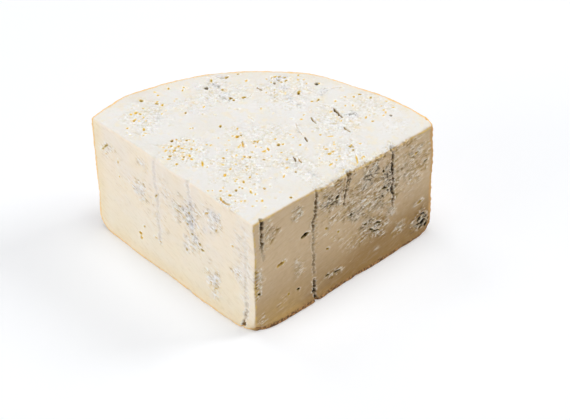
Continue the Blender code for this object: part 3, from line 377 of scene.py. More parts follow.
class CutSurface:
    """The relief and the stains of one cut surface, in its own flat coordinates u and v.

    Drag is the angle of the knife's strokes, ink says how dark the stains are, and plain is
    the spacing of the mesh points where nothing fine is.
    """

    def __init__(self, seed, holes, pits, cracks, tracks, mould, torn, drag, ink, plain):
        self.seed = seed
        self.cracks = cracks
        self.tracks = tracks
        self.mould = mould
        self.torn = torn
        self.drag = drag
        self.ink = ink
        # Only the right face: its tan paste is darkened with painted shade
        self.shaded_tan_paste = ink > 0.9
        self.plain = plain
        scatter = np.random.RandomState(SEED + seed)
        self.holes = list(holes)
        for u, v, half_u, half_v, count in pits:
            for _ in range(count):
                turn, reach = scatter.uniform(0.0, 2.0 * math.pi), math.sqrt(scatter.uniform())
                size = scatter.uniform(0.36, 0.76)
                self.holes.append((
                    u + half_u * reach * math.cos(turn), v + half_v * reach * math.sin(turn),
                    size, size * scatter.uniform(0.45, 1.0), scatter.uniform(0.3, 0.7),
                    scatter.uniform(0.0, 180.0), "OPRRB"[scatter.randint(5)],
                ))

    def lumps(self, number, u, v, length, stretch=1.0):
        """Noise of this surface's own, with lumps of this length, drawn out along u."""
        return ripple(self.seed + number, u / (length * stretch), v / length)

    def bent(self, u, v):
        """The coordinates, bent a little, so that nothing has a ruled outline."""
        return u + 0.34 * self.lumps(31, u, v, 2.3), v + 0.34 * self.lumps(32, u, v, 2.3)

    def patches(self, table, u, v):
        """How much of a patch there is, from 0 to 1, with ragged borders."""
        ragged = 0.42 * self.lumps(33, u, v, 5.5) + 0.26 * self.lumps(34, u, v, 2.2)
        total = np.zeros_like(u)
        for mid_u, mid_v, half_u, half_v, turn, strength in table:
            p, q = turned(u - mid_u, v - mid_v, math.radians(turn))
            reach = np.hypot(p / half_u, q / half_v) + ragged
            total = np.maximum(total, strength * (1.0 - smoothstep(0.3, 1.15, reach)))
        return total

    def spacing(self, u, v, edge):
        """How far apart the mesh points are to be. The edge is the distance from the border."""
        busy = np.maximum(self.patches(self.mould, u, v), 0.5 * self.patches(self.torn, u, v))
        size = self.plain - (self.plain - TORN_STEP) * smoothstep(0.10, 0.40, busy)
        size = np.minimum(size, EDGE_STEP + 0.42 * np.maximum(edge - 0.8, 0.0))
        for mid_u, mid_v, half_u, half_v, _, turn, _ in self.holes:
            near = (np.abs(u - mid_u) < 5.0) & (np.abs(v - mid_v) < 5.0)
            p, q = turned(u[near] - mid_u, v[near] - mid_v, math.radians(turn))
            outside = np.maximum(np.hypot(p / half_u, q / half_v) - 1.5, 0.0) * min(half_u, half_v)
            fine = HOLE_STEP if min(half_u, half_v) > 0.6 else SMALL_HOLE_STEP
            size[near] = np.minimum(size[near], fine + 0.5 * outside)
        for half_width, _, _, points in self.cracks:
            distance = from_line(u, v, points)[0]
            size = np.minimum(size, CRACK_STEP + 0.5 * np.maximum(distance - 1.6 * half_width, 0.0))
        for radius, points in self.tracks:
            distance = from_line(u, v, points)[0]
            size = np.minimum(size, TRACK_STEP + 0.5 * np.maximum(distance - 1.5 * radius, 0.0))
        return size

    def surface(self, u, v):
        """Depth below the plain surface, how mouldy, torn, dark, brown and ochre it is, and how much painted
        highlight it has.
        """
        along, across = turned(u, v, self.drag)
        bent_u, bent_v = self.bent(u, v)
        mould = self.patches(self.mould, u, v)
        torn = np.maximum(self.patches(self.torn, u, v), mould)
        sliced = self.drag != 0.0
        broken = self.lumps(7, u, v, 2.8)
        gaps = smoothstep(-0.30, 0.30, self.lumps(11, u, v, 1.7))
        depth = 0.14 * self.lumps(0, u, v, 9.0) + 0.12 * self.lumps(1, u, v, 3.6)
        depth += 0.09 * self.lumps(2, u, v, 1.7)
        # Streaks that the knife drew across the paste
        stretch = 4.0 if sliced else 1.7
        streak = self.lumps(3, along, across, 1.6, stretch)
        streak += 0.6 * self.lumps(4, along, across, 0.9, stretch)
        ridge = smoothstep(0.20, 0.85, streak) - smoothstep(0.20, 0.85, -streak)
        depth -= (0.08 + 0.30 * torn if sliced else 0.06 + 0.20 * torn) * ridge
        # Curls where it tore the paste: thin furrows between ridges, dark where there is mould
        stretch, size = (2.2, 1.7) if sliced else (1.3, 2.5)
        curl = self.lumps(5, along, across, size, stretch)
        curl += 0.5 * self.lumps(6, along, across, 0.55 * size, stretch)
        furrow = (1.0 - smoothstep(0.04, 0.30, np.abs(curl))) * smoothstep(-0.35, 0.25, broken)
        depth += torn * (0.60 * furrow - 0.30 * np.abs(curl))
        deep_mould = smoothstep(0.22, 0.85, mould)
        dark = self.ink * deep_mould * furrow
        sparse = smoothstep(0.15, 0.45, self.lumps(13, u, v, 4.0))
        brown = 0.8 * sliced * smoothstep(0.35, 0.9, torn) * furrow * (1.0 - deep_mould) * self.ink
        ochre = torn * furrow * (1.0 - 0.7 * deep_mould) * (0.35 if sliced else 0.08 + 0.4 * sparse)
        # Painted highlights on the ridges between the furrows
        painted_highlight = 0.9 * smoothstep(0.15, 0.7, torn) * smoothstep(0.32, 0.66, np.abs(curl)) * gaps
        painted_highlight *= 1.0 - 0.55 * smoothstep(0.45, 0.9, mould) * self.shaded_tan_paste
        for mid_u, mid_v, half_u, half_v, deep, turn, look in self.holes:
            near = (np.abs(u - mid_u) < 6.0) & (np.abs(v - mid_v) < 6.0)
            p, q = turned(bent_u[near] - mid_u, bent_v[near] - mid_v, math.radians(turn))
            reach = np.hypot(p / half_u, q / half_v)
            outside = (reach - 1.0) * min(half_u, half_v)
            # The raised lip round each hole gets a painted highlight, stronger on one side as if lit from
            # there
            lit_side = smoothstep(-1.0, 1.2, (bent_u[near] - mid_u + 0.5 * (bent_v[near] - mid_v)) / half_u)
            lip = bell(outside, 0.42, 0.55) * gaps[near] * (0.15 + 0.85 * lit_side)
            lip *= 0.4 if look == "K" else 1.0
            painted_highlight[near] = np.maximum(painted_highlight[near], lip)
            if look == "R":
                depth[near] += 0.8 * deep * (1.0 - smoothstep(0.3, 1.05, reach)) - 0.30 * lip
                ochre[near] = np.maximum(ochre[near], 0.25 * bell(outside, 0.3, -0.1))
                continue
            depth[near] += deep * (1.0 - smoothstep(0.35, 1.05, reach)) - 0.38 * lip
            gold = 1.0 - smoothstep(-0.15, 0.35, outside)
            gold *= {"K": 0.3, "P": 0.85, "O": 1.0}.get(look, 0.7 if sliced else 1.0)
            ochre[near] = np.maximum(ochre[near], gold)
            if look in "DBK":
                core = (0.3 + 0.7 * self.ink) * (1.0 - smoothstep(0.25, 0.85, reach))
                brown[near] = np.maximum(brown[near], core)
            # Dark cores: mould in the hole, deepened with painted shade, as small pits darken too little on
            # their own
            if look in "DK":
                rim = 0.8 if sliced else 0.65
                core = (self.ink if look == "D" else 1.0) * (1.0 - smoothstep(rim, rim + 0.45, reach))
                dark[near] = np.maximum(dark[near], core)
        for half_width, deep, how_dark, points in self.cracks:
            distance, _, share = from_line(bent_u, bent_v, points)
            ends = 0.35 + 0.65 * smoothstep(0.0, 0.16, np.minimum(share, 1.0 - share))
            width = half_width * ends * (1.0 + 0.35 * self.lumps(8, u, v, 1.7))
            is_deep = deep > 0.9
            inside = 1.0 - smoothstep(0.2, 1.1, distance / width)
            inside *= 1.0 if is_deep else 0.3 + 0.7 * gaps
            core = 1.0 - smoothstep(0.3, 0.8, distance / width)
            lip = bell(distance - width, 0.4, 0.4) * gaps
            depth += deep * ends * inside - 0.16 * lip
            dark = np.maximum(dark, smoothstep(0.3, 0.8, how_dark) * core)
            brown = np.maximum(brown, smoothstep(0.1, 0.6, how_dark) * inside)
            ochre = np.maximum(ochre, (1.0 if is_deep else 0.35) * inside)
            # Painted highlight on the crack's lips
            painted_highlight = np.maximum(painted_highlight, 0.8 * lip)
        for radius, points in self.tracks:
            wander = 0.6 * waver(self.seed + 12, v, 2.2)
            distance, how_dark, share = from_line(bent_u + wander, bent_v, points)
            dots = smoothstep(-0.24, 0.18, ripple(self.seed + 10, u / 4.0, v / 1.7))
            width = radius * (0.5 + 0.7 * dots)
            ends = smoothstep(0.0, 0.05, 1.0 - share) if points[-1][1] > 0.0 else 1.0
            groove = np.sqrt(np.clip(1.0 - (distance / width) ** 2, 0.0, 1.0))
            depth += 0.9 * radius * groove * ends * (0.3 + 0.7 * smoothstep(0.1, 0.6, how_dark))
            lip = bell(distance - width, 0.42, 0.45) * gaps
            depth -= 0.20 * lip * ends
            stain = (1.0 - smoothstep(0.5, 1.05, distance / width)) * ends
            dark = np.maximum(dark, how_dark * stain * (0.1 + 0.9 * dots))
            brown = np.maximum(brown, smoothstep(0.05, 0.5, how_dark) * stain * (0.5 + 0.5 * dots))
            near = 1.0 - smoothstep(0.6, 1.9, distance / width)
            mould = np.maximum(mould, 0.8 * (0.45 + 0.5 * how_dark) * ends * near)
            # Painted highlight on the channel's lips, fainter on the shaded tan paste
            lip_highlight = 0.2 + 0.7 * how_dark if self.shaded_tan_paste else 0.5 + 0.5 * how_dark
            painted_highlight = np.maximum(painted_highlight, lip_highlight * lip * ends)
        return depth, mould, torn, dark, brown, ochre, painted_highlight


TOP = CutSurface(
    seed=100, holes=TOP_HOLES, pits=TOP_PITS, cracks=TOP_CRACKS, tracks=(),
    mould=TOP_MOULD, torn=TOP_TORN, drag=0.0, ink=0.55, plain=1.15)
LEFT = CutSurface(
    seed=200, holes=LEFT_HOLES, pits=(), cracks=(), tracks=LEFT_TRACKS,
    mould=LEFT_MOULD, torn=LEFT_TORN, drag=LEFT_DRAG, ink=0.30, plain=1.3)
RIGHT = CutSurface(
    seed=300, holes=RIGHT_HOLES, pits=(), cracks=(), tracks=RIGHT_TRACKS,
    mould=RIGHT_MOULD, torn=RIGHT_TORN, drag=RIGHT_DRAG, ink=1.0, plain=1.25)


def rim_radius(z):
    """Radius of the plain wheel at a height: the lower edge of the rim is rounded."""
    low = np.clip(RIM_EDGE - z, 0.0, RIM_EDGE)
    return RIM_RADIUS - RIM_EDGE + np.sqrt(RIM_EDGE ** 2 - low ** 2)


def cut_length(z):
    """How far along a cut face the rind is, from the front edge."""
    past = np.linalg.norm(AXIS - FRONT)
    return past * math.cos(HALF_ANGLE) + np.sqrt(rim_radius(z) ** 2 - (past * math.sin(HALF_ANGLE)) ** 2)


PROFILE = HEIGHT - RIM_EDGE + 0.5 * math.pi * RIM_EDGE


def profile_point(p):
    """Radius and height at a length p down the rim's profile."""
    turn = np.clip((p - (HEIGHT - RIM_EDGE)) / RIM_EDGE, 0.0, 0.5 * math.pi)
    radius = RIM_RADIUS - RIM_EDGE + RIM_EDGE * np.cos(turn)
    return radius, np.where(turn > 0.0, RIM_EDGE * (1.0 - np.sin(turn)), HEIGHT - p)


def on_cut(along, s, z):
    return np.column_stack([FRONT[0] + along[0] * s, FRONT[1] + along[1] * s, z])


def on_rim(x, p):
    radius, z = profile_point(p)
    angle = x / RIM_RADIUS
    return np.column_stack([AXIS[0] + radius * np.sin(angle), AXIS[1] + radius * np.cos(angle), z])


def rim_flat(points):
    x, y = points[:, 0] - AXIS[0], points[:, 1] - AXIS[1]
    low = np.clip((RIM_EDGE - points[:, 2]) / RIM_EDGE, 0.0, 1.0)
    p = np.where(low > 0.0, HEIGHT - RIM_EDGE + RIM_EDGE * np.arcsin(low), HEIGHT - points[:, 2])
    return np.column_stack([RIM_RADIUS * np.arctan2(x, y), p])


# The borders between the surfaces, each a row of points that both neighbours share
def steps(length, spacing):
    return np.linspace(0.0, 1.0, max(int(round(length / spacing)), 2) + 1)


base_points = []


def add_points(points):
    start = sum(len(block) for block in base_points)
    base_points.append(points)
    return np.arange(start, start + len(points))


def add_border(points, first=None, last=None):
    """Global numbers of a border's points. Its ends may be corners that exist already."""
    inner = add_points(points[1:-1])
    if first is None:
        first = add_points(points[:1])[0]
    if last is None:
        last = add_points(points[-1:])[0]
    return np.concatenate([[first], inner, [last]])


top_length = float(cut_length(np.array(HEIGHT)))
foot_length = float(cut_length(np.array(0.0)))
t = steps(HEIGHT, CUT_BORDER_STEP)
front_border = add_border(on_cut(LEFT_ALONG, 0.0 * t, HEIGHT * t))
t = steps(top_length, CUT_BORDER_STEP)
left_top_border = add_border(on_cut(LEFT_ALONG, top_length * t, 0.0 * t + HEIGHT), first=front_border[-1])
right_top_border = add_border(on_cut(RIGHT_ALONG, top_length * t, 0.0 * t + HEIGHT), first=front_border[-1])
t = steps(foot_length, LOW_BORDER_STEP)
left_foot_border = add_border(on_cut(LEFT_ALONG, foot_length * t, 0.0 * t), first=front_border[0])
right_foot_border = add_border(on_cut(RIGHT_ALONG, foot_length * t, 0.0 * t), first=front_border[0])
t = steps(PROFILE, LOW_BORDER_STEP)
down_z = profile_point(PROFILE * t)[1]
left_end_border = add_border(
    on_cut(LEFT_ALONG, cut_length(down_z), down_z), left_top_border[-1], left_foot_border[-1])
right_end_border = add_border(
    on_cut(RIGHT_ALONG, cut_length(down_z), down_z), right_top_border[-1], right_foot_border[-1])
corners = np.concatenate(base_points)
top_angle = float(np.abs(rim_flat(corners[left_top_border[-1:]])[0, 0])) / RIM_RADIUS
foot_angle = float(np.abs(rim_flat(corners[left_foot_border[-1:]])[0, 0])) / RIM_RADIUS
t = steps(2.0 * RIM_RADIUS * top_angle, RIM_TOP_STEP) * 2.0 - 1.0
rim_top_border = add_border(
    on_rim(t * top_angle * RIM_RADIUS, 0.0 * t), left_top_border[-1], right_top_border[-1])
t = steps(2.0 * RIM_RADIUS * foot_angle, RIM_FOOT_STEP) * 2.0 - 1.0
rim_foot_border = add_border(
    on_rim(t * foot_angle * RIM_RADIUS, 0.0 * t + PROFILE), left_foot_border[-1], right_foot_border[-1])


def inner_points(low, high, border_distance, spacing, finest, coarsest, seed):
    """Points inside a surface, spaced as wanted there, laid out in rows and then shaken."""
    shake = np.random.RandomState(SEED + seed)
    found = []
    step = finest
    while step < coarsest * 1.01:
        rows = int((high[1] - low[1]) / (step * ROW_PITCH)) + 2
        columns = int((high[0] - low[0]) / step) + 2
        row, column = np.meshgrid(np.arange(rows), np.arange(columns), indexing="ij")
        u = low[0] + (column + 0.5 * (row % 2)) * step
        v = low[1] + row * step * ROW_PITCH
        u = (u + shake.uniform(-0.2, 0.2, u.shape) * step).ravel()
        v = (v + shake.uniform(-0.2, 0.2, v.shape) * step).ravel()
        keep = border_distance(u, v) > 0.5 * step
        u, v = u[keep], v[keep]
        wanted = spacing(u, v)
        keep = (wanted < step * STEP_SHARE) | (step * STEP_GROWTH >= coarsest)
        if step > finest:
            keep &= wanted >= step / STEP_GROWTH * STEP_SHARE
        found.append(np.column_stack([u[keep], v[keep]]))
        step *= STEP_GROWTH
    return np.concatenate(found)


def triangles(loop, loop_flat, inner, to_space, flip):
    """Triangles over a surface, from its border and its inner points, in global numbers."""
    numbers = np.concatenate([loop, add_points(to_space(inner[:, 0], inner[:, 1]))])
    flat = np.concatenate([loop_flat, inner])
    count = len(loop)
    edges = [(k, (k + 1) % count) for k in range(count)]
    made = delaunay_2d_cdt([Vector(point) for point in flat.tolist()], edges, [], 1, 1e-5)
    origin = [source[0] for source in made[3]]
    faces = np.array([[origin[k] for k in face] for face in made[2]])
    a, b, c = (flat[faces[:, k]] for k in range(3))
    area = (b[:, 0] - a[:, 0]) * (c[:, 1] - a[:, 1]) - (b[:, 1] - a[:, 1]) * (c[:, 0] - a[:, 0])
    faces[area < 0.0] = faces[area < 0.0][:, ::-1]
    faces = numbers[faces]
    return faces[:, ::-1] if flip else faces


def plan_distance(u, v, radius):
    """From a point in plan to the nearest of the two cuts and the rim."""
    x, y = u - FRONT[0], v - FRONT[1]
    left = x * LEFT_IN[0] + y * LEFT_IN[1]
    right = x * RIGHT_IN[0] + y * RIGHT_IN[1]
    return np.minimum(np.minimum(left, right), radius - np.hypot(u - AXIS[0], v - AXIS[1]))


def cut_distance(s, z):
    """From a point of a cut face to its border: to the front or top edge, and to any edge."""
    inside = np.where((z > 0.0) & (z < HEIGHT), cut_length(np.clip(z, 0.0, HEIGHT)) - s, -1.0)
    low = np.hypot(np.maximum(s - (cut_length(HEIGHT) - RIM_EDGE), 0.0), np.maximum(RIM_EDGE - z, 0.0))
    inside = np.where(z < RIM_EDGE, np.minimum(inside, RIM_EDGE - low + 0.3), inside)
    return np.minimum(s, HEIGHT - z), np.minimum(np.minimum(s, HEIGHT - z), np.minimum(inside, z))


def cut_spacing(surface):
    def wanted(s, z):
        fine_edge, any_edge = cut_distance(s, z)
        size = surface.spacing(s, z, fine_edge)
        return np.minimum(size, 0.72 + 0.4 * np.maximum(any_edge - 0.8, 0.0))
    return wanted


def rim_distance(x, p):
    z = profile_point(p)[1]
    s = cut_length(z)
    limit = RIM_RADIUS * np.arctan2(s * math.sin(HALF_ANGLE), s * math.cos(HALF_ANGLE) - FRONT_TO_AXIS)
    return np.minimum(limit - np.abs(x), np.minimum(p, PROFILE - p))


space = np.concatenate(base_points)
beyond = RIM_RADIUS + 20.0
all_faces = []
loop = np.concatenate([left_top_border[::-1][:-1], right_top_border[:-1], rim_top_border[::-1][:-1]])
inner = inner_points(
    (-beyond, -beyond), (beyond, beyond), lambda u, v: plan_distance(u, v, RIM_RADIUS),
    lambda u, v: TOP.spacing(u, v, plan_distance(u, v, RIM_RADIUS)),
    finest=0.41, coarsest=TOP.plain, seed=1)
all_faces.append(triangles(
    loop, space[loop, :2], inner, lambda u, v: np.column_stack([u, v, 0.0 * u + HEIGHT]), False))
loop = np.concatenate([left_foot_border[::-1][:-1], right_foot_border[:-1], rim_foot_border[::-1][:-1]])
inner = inner_points(
    (-beyond, -beyond), (beyond, beyond), lambda u, v: plan_distance(u, v, RIM_RADIUS - RIM_EDGE),
    lambda u, v: 0.8 + 0.4 * np.maximum(plan_distance(u, v, RIM_RADIUS - RIM_EDGE) - 0.6, 0.0),
    finest=0.8, coarsest=3.4, seed=2)
all_faces.append(triangles(
    loop, space[loop, :2], inner, lambda u, v: np.column_stack([u, v, 0.0 * u]), True))
for along, surface, top_border, foot_border, end_border, flip, seed in (
    (LEFT_ALONG, LEFT, left_top_border, left_foot_border, left_end_border, True, 3),
    (RIGHT_ALONG, RIGHT, right_top_border, right_foot_border, right_end_border, False, 4),
):
    loop = np.concatenate([
        front_border[:-1], top_border[:-1], end_border[:-1], foot_border[::-1][:-1]])
    flat = np.column_stack([(space[loop, :2] - FRONT) @ along, space[loop, 2]])
    inner = inner_points(
        (0.0, 0.0), (top_length, HEIGHT), lambda s, z: cut_distance(s, z)[1],
        cut_spacing(surface), finest=0.40, coarsest=surface.plain, seed=seed)
    all_faces.append(triangles(
        loop, flat, inner, lambda s, z, along=along: on_cut(along, s, z), flip))
loop = np.concatenate([
    rim_top_border[:-1], right_end_border[:-1], rim_foot_border[::-1][:-1], left_end_border[::-1][:-1]])
inner = inner_points(
    (-beyond, 0.0), (beyond, PROFILE), rim_distance,
    lambda x, p: 0.72 + 0.35 * np.maximum(rim_distance(x, p) - 0.8, 0.0),
    finest=0.72, coarsest=1.9, seed=5)
all_faces.append(triangles(loop, rim_flat(space[loop]), inner, on_rim, False))
base = np.concatenate(base_points)
faces = np.concatenate(all_faces)
print("cheese: %d points, %d triangles %s" % (len(base), len(faces), [len(part) for part in all_faces]))

# Distances from the plain surfaces, and which way is inwards
x, y, z = base.T
from_front = base[:, :2] - FRONT
to_left = np.maximum(from_front @ LEFT_IN, 0.0)
to_right = np.maximum(from_front @ RIGHT_IN, 0.0)
to_top = HEIGHT - z
s_left = from_front @ LEFT_ALONG
s_right = from_front @ RIGHT_ALONG
from_axis = base[:, :2] - AXIS
radius = np.linalg.norm(from_axis, axis=1)
radial = from_axis / np.maximum(radius, 1e-6)[:, None]
outward = np.column_stack([
    np.maximum(radius - (RIM_RADIUS - RIM_EDGE), 0.0), np.maximum(RIM_EDGE - z, 0.0)])
out_length = np.linalg.norm(outward, axis=1)
to_rind = np.maximum(RIM_EDGE - out_length, 0.0)
outward /= np.maximum(out_length, 1e-6)[:, None]
count = len(base)
left_in = np.tile([*LEFT_IN, 0.0], (count, 1))
right_in = np.tile([*RIGHT_IN, 0.0], (count, 1))
top_in = np.tile([0.0, 0.0, -1.0], (count, 1))
rind_in = np.column_stack([-radial * outward[:, :1], outward[:, 1]])


def waves(length, seed):
    """The same slow noise as in the solid."""
    start = Vector((1.0, 0.37, -0.71)) * seed
    return np.array([2.0 * noise.noise(Vector(point) / length + start) for point in base.tolist()])


def lumps(seed, wide, tall):
    """Fine noise in space, with lumps of this width and height."""
    return ripple(seed, x / wide, y / wide, z / tall)


# The slow unevenness, as in the solid
shift = np.zeros_like(base)
angle = np.degrees(np.arctan2(from_axis[:, 0], from_axis[:, 1]))
swell = 0.5 * waves(24.0, 3.0)
for middle, bulge, spread in RIM_BULGES:
    swell += bulge * np.exp(-0.5 * ((angle - middle) / spread) ** 2)
shift[:, :2] += radial * (swell * smoothstep(RIM_RADIUS - 24.0, RIM_RADIUS, radius))[:, None]
for inside, inward, seed in ((to_left, left_in, 7.0), (to_right, right_in, 11.0)):
    near = (1.0 - smoothstep(0.0, 15.0, inside)) * smoothstep(0.0, 12.0, z)
    shift += inward * (0.6 * waves(30.0, seed) * near)[:, None]
blunt = np.exp(-0.5 * (np.linalg.norm(from_front, axis=1) / 7.0) ** 2)
shift[:, 1] += 3.2 * blunt * (1.0 - smoothstep(0.0, 9.0, z))
for inside, inward, cut_s, tall in ((to_left, left_in, s_left, 14.0), (to_right, right_in, s_right, 6.0)):
    foot = (1.0 - smoothstep(0.0, tall, z)) * (1.0 - smoothstep(0.0, 9.0, inside))
    lasting = 1.0 - 0.5 * smoothstep(40.0, 75.0, cut_s) - 0.5 * smoothstep(95.0, 140.0, cut_s)
    foot *= smoothstep(-5.0, 9.0, cut_s) * lasting
    shift -= inward * (FOOT_LIP * foot)[:, None]
near_top = smoothstep(HEIGHT - 35.0, HEIGHT, z)
shift[:, 2] += 0.6 * waves(30.0, 17.0) * near_top
shift[:, 2] -= 0.5 * (1.0 - smoothstep(0.0, 1.8, np.minimum(to_left, to_right))) * near_top
broken = smoothstep(48.0, 53.0, s_right) * (1.0 - smoothstep(0.0, 7.2, to_right))
shift[:, 2] -= 1.4 * broken * near_top

# The relief of the cut surfaces, which fades out below each of them
fields = np.zeros((count, 6))
weights = np.zeros(count)
for surface, inside, inward, u, v in (
    (TOP, to_top, top_in, x, y),
    (LEFT, to_left, left_in, s_left, z),
    (RIGHT, to_right, right_in, s_right, z),
):
    near = inside < RELIEF_FADE
    depth, *stains = surface.surface(u[near], v[near])
    shift[near] += inward[near] * (depth * (1.0 - smoothstep(0.0, RELIEF_FADE, inside[near])))[:, None]
    weight = bell(inside[near], STAIN_REACH)
    fields[near] += np.column_stack(stains) * weight[:, None]
    weights[near] += weight
rough = 0.5 + 0.5 * lumps(401, 7.0, 4.0)
rough += 0.35 * lumps(402, 2.8, 1.9)
rough += 0.30 * lumps(403, 22.0, 2.6)
rough = np.clip(rough, 0.0, None)
weights += bell(to_rind, STAIN_REACH)
shift += rind_in * (0.42 * rough * (1.0 - smoothstep(0.0, RELIEF_FADE, to_rind)))[:, None]
fields /= np.maximum(weights, 1e-6)[:, None]

# The edges: worn round, ragged, and with crumbs gone
LEFT_EDGE_CRUMBS = ((31.0, 3.5, 1.2), (56.0, 2.5, 1.4), (86.0, 2.2, 1.2), (102.0, 4.5, 1.0))
RIGHT_EDGE_CRUMBS = (
    (6.0, 2.2, 1.4), (49.0, 2.6, 1.6), (60.0, 4.0, 0.5), (74.0, 2.4, 1.2), (85.0, 4.4, 0.8),
    (99.0, 3.4, 0.6), (110.0, 2.4, 1.6), (126.0, 4.0, 0.5),
)
FOOT_CRUMBS = (
    (s_left, to_left, 20.0, 3.0, 0.9), (s_left, to_left, 57.0, 2.4, 0.9), (s_left, to_left, 78.0, 2.8, 0.8),
    (s_right, to_right, 47.0, 3.0, 1.2), (s_right, to_right, 80.0, 3.4, 0.8),
    (s_right, to_right, 118.0, 3.0, 0.9),
)


def notch(s, middle, half):
    return np.exp(-1.3 * ((s - middle) / half) ** 2)


def crumbs(s, table):
    return sum(1.5 * bite * notch(s, middle, half) for middle, half, bite in table)


def soften(first, second, first_in, second_in, worn):
    """Rounds the edge between two surfaces. Here worn is the radius of the rounding."""
    away = np.maximum(first, second)
    near = (away < worn) & (np.minimum(first, second) < 1e-4)
    turn = 0.25 * math.pi * (1.0 - away[near] / worn[near])
    back = worn[near] * (1.0 - np.cos(turn))
    aside = worn[near] * (1.0 - np.sin(turn)) - away[near]
    on_first = (first[near] <= second[near])[:, None]
    shift[near] += np.where(on_first, first_in[near], second_in[near]) * back[:, None]
    shift[near] += np.where(on_first, second_in[near], first_in[near]) * aside[:, None]


worn = 1.15 + 0.5 * waver(410, s_left, 6.0) + 0.25 * waver(411, s_left, 1.7)
soften(to_top, to_left, top_in, left_in, np.clip(worn, 0.35, None) + crumbs(s_left, LEFT_EDGE_CRUMBS))
crumbly = smoothstep(46.0, 54.0, s_right)
worn = 0.45 + 0.15 * waver(412, s_right, 1.8) + crumbly * (
    0.9 + 1.6 * waver(413, s_right, 4.2) + waver(414, s_right, 1.6))
soften(to_top, to_right, top_in, right_in, np.clip(worn, 0.3, None) + crumbs(s_right, RIGHT_EDGE_CRUMBS))
worn = 0.75 + 0.7 * waver(415, z, 1.6) + 0.4 * waver(416, z, 5.0)
teeth = smoothstep(24.0, 30.0, z) * (1.0 - smoothstep(48.0, 56.0, z))
worn += teeth * (0.6 + 0.9 * np.sin(2.0 * math.pi * z / TOOTH_SPACING + 2.0 * waver(426, z, 5.0)))
worn += 4.8 * (1.0 - smoothstep(0.0, 12.0, z))
soften(to_left, to_right, left_in, right_in, np.clip(worn, 0.22, None))
worn = 0.65 + 0.25 * ripple(417, x / 3.0, y / 3.0)
soften(to_top, to_rind, top_in, rind_in, worn)
worn = 0.5 + 0.2 * lumps(418, 2.5, 2.5)
for cut_s, inside, middle, half, bite in FOOT_CRUMBS:
    worn += 1.3 * bite * notch(cut_s, middle, half) * (inside < 6.0) * (z < 6.0)
soften(to_left, to_rind, left_in, rind_in, np.clip(worn, 0.25, None))
worn += 0.35 + 0.7 * waver(419, z, 2.6) + 0.5 * waver(425, z, 7.0)
soften(to_right, to_rind, right_in, rind_in, np.clip(worn, 0.25, None))

low, high = (np.array(corner) * 1000.0 for corner in CAD_BOX)
points = np.clip(base + shift, low + 0.01, high - 0.01)

# Where the paste meets the rind, and how far the darker paste under the rind reaches
uneven_rind = to_rind + 0.35 * lumps(420, 2.2, 2.2) + 0.5 * lumps(421, 9.0, 9.0)
band = uneven_rind - (1.2 + 0.15 * (1.0 - smoothstep(2.0, 9.0, z))) * bell(to_right, CUT_REACH)
rind = np.maximum(1.0 - smoothstep(0.8, 1.8, band), bell(to_rind, 0.12))
under = 1.0 - smoothstep(0.0, 15.0, to_rind + 3.0 * lumps(422, 16.0, 16.0))
under *= 1.0 - 0.65 * bell(to_top, CUT_REACH)
on_left = bell(to_left, CUT_REACH)
on_right = bell(to_right, CUT_REACH) * (1.0 - 0.5 * on_left)

# The golden line along the top and front edges of the right face
edge_line = bell(np.minimum(to_top, to_left), CUT_REACH, 0.5) * on_right * (to_rind > 1.0)
edge_line *= np.where(to_left < to_top, 0.8, 0.5) * smoothstep(-0.5, 0.3, ripple(430, s_right / 3.0, z / 3.0))
edge_line *= smoothstep(4.0, 14.0, z)

mesh = bpy.data.meshes.new("gorgonzola")
mesh.vertices.add(count)
mesh.vertices.foreach_set("co", (points * 0.001).astype(np.float32).ravel())
mesh.loops.add(3 * len(faces))
mesh.loops.foreach_set("vertex_index", faces.astype(np.int32).ravel())
mesh.polygons.add(len(faces))
mesh.polygons.foreach_set("loop_start", np.arange(0, 3 * len(faces), 3, dtype=np.int32))
mesh.update(calc_edges=True)
mesh.validate()
mesh.shade_smooth()
for name, values in (
    ("mould", fields[:, 0]), ("torn", fields[:, 1]), ("dark", fields[:, 2]), ("brown", fields[:, 3]),
    ("ochre", np.maximum(fields[:, 4], edge_line)), ("painted_highlight", fields[:, 5]),
    ("rind", rind), ("under", under), ("left", on_left), ("right", on_right),
    ("far", smoothstep(20.0, 130.0, s_right)), ("height", z / HEIGHT),
):
    layer = mesh.attributes.new(name, "FLOAT", "POINT")
    layer.data.foreach_set("value", values.astype(np.float32))
cheese = bpy.data.objects.new("gorgonzola_cheese", mesh)
bpy.context.scene.collection.objects.link(cheese)


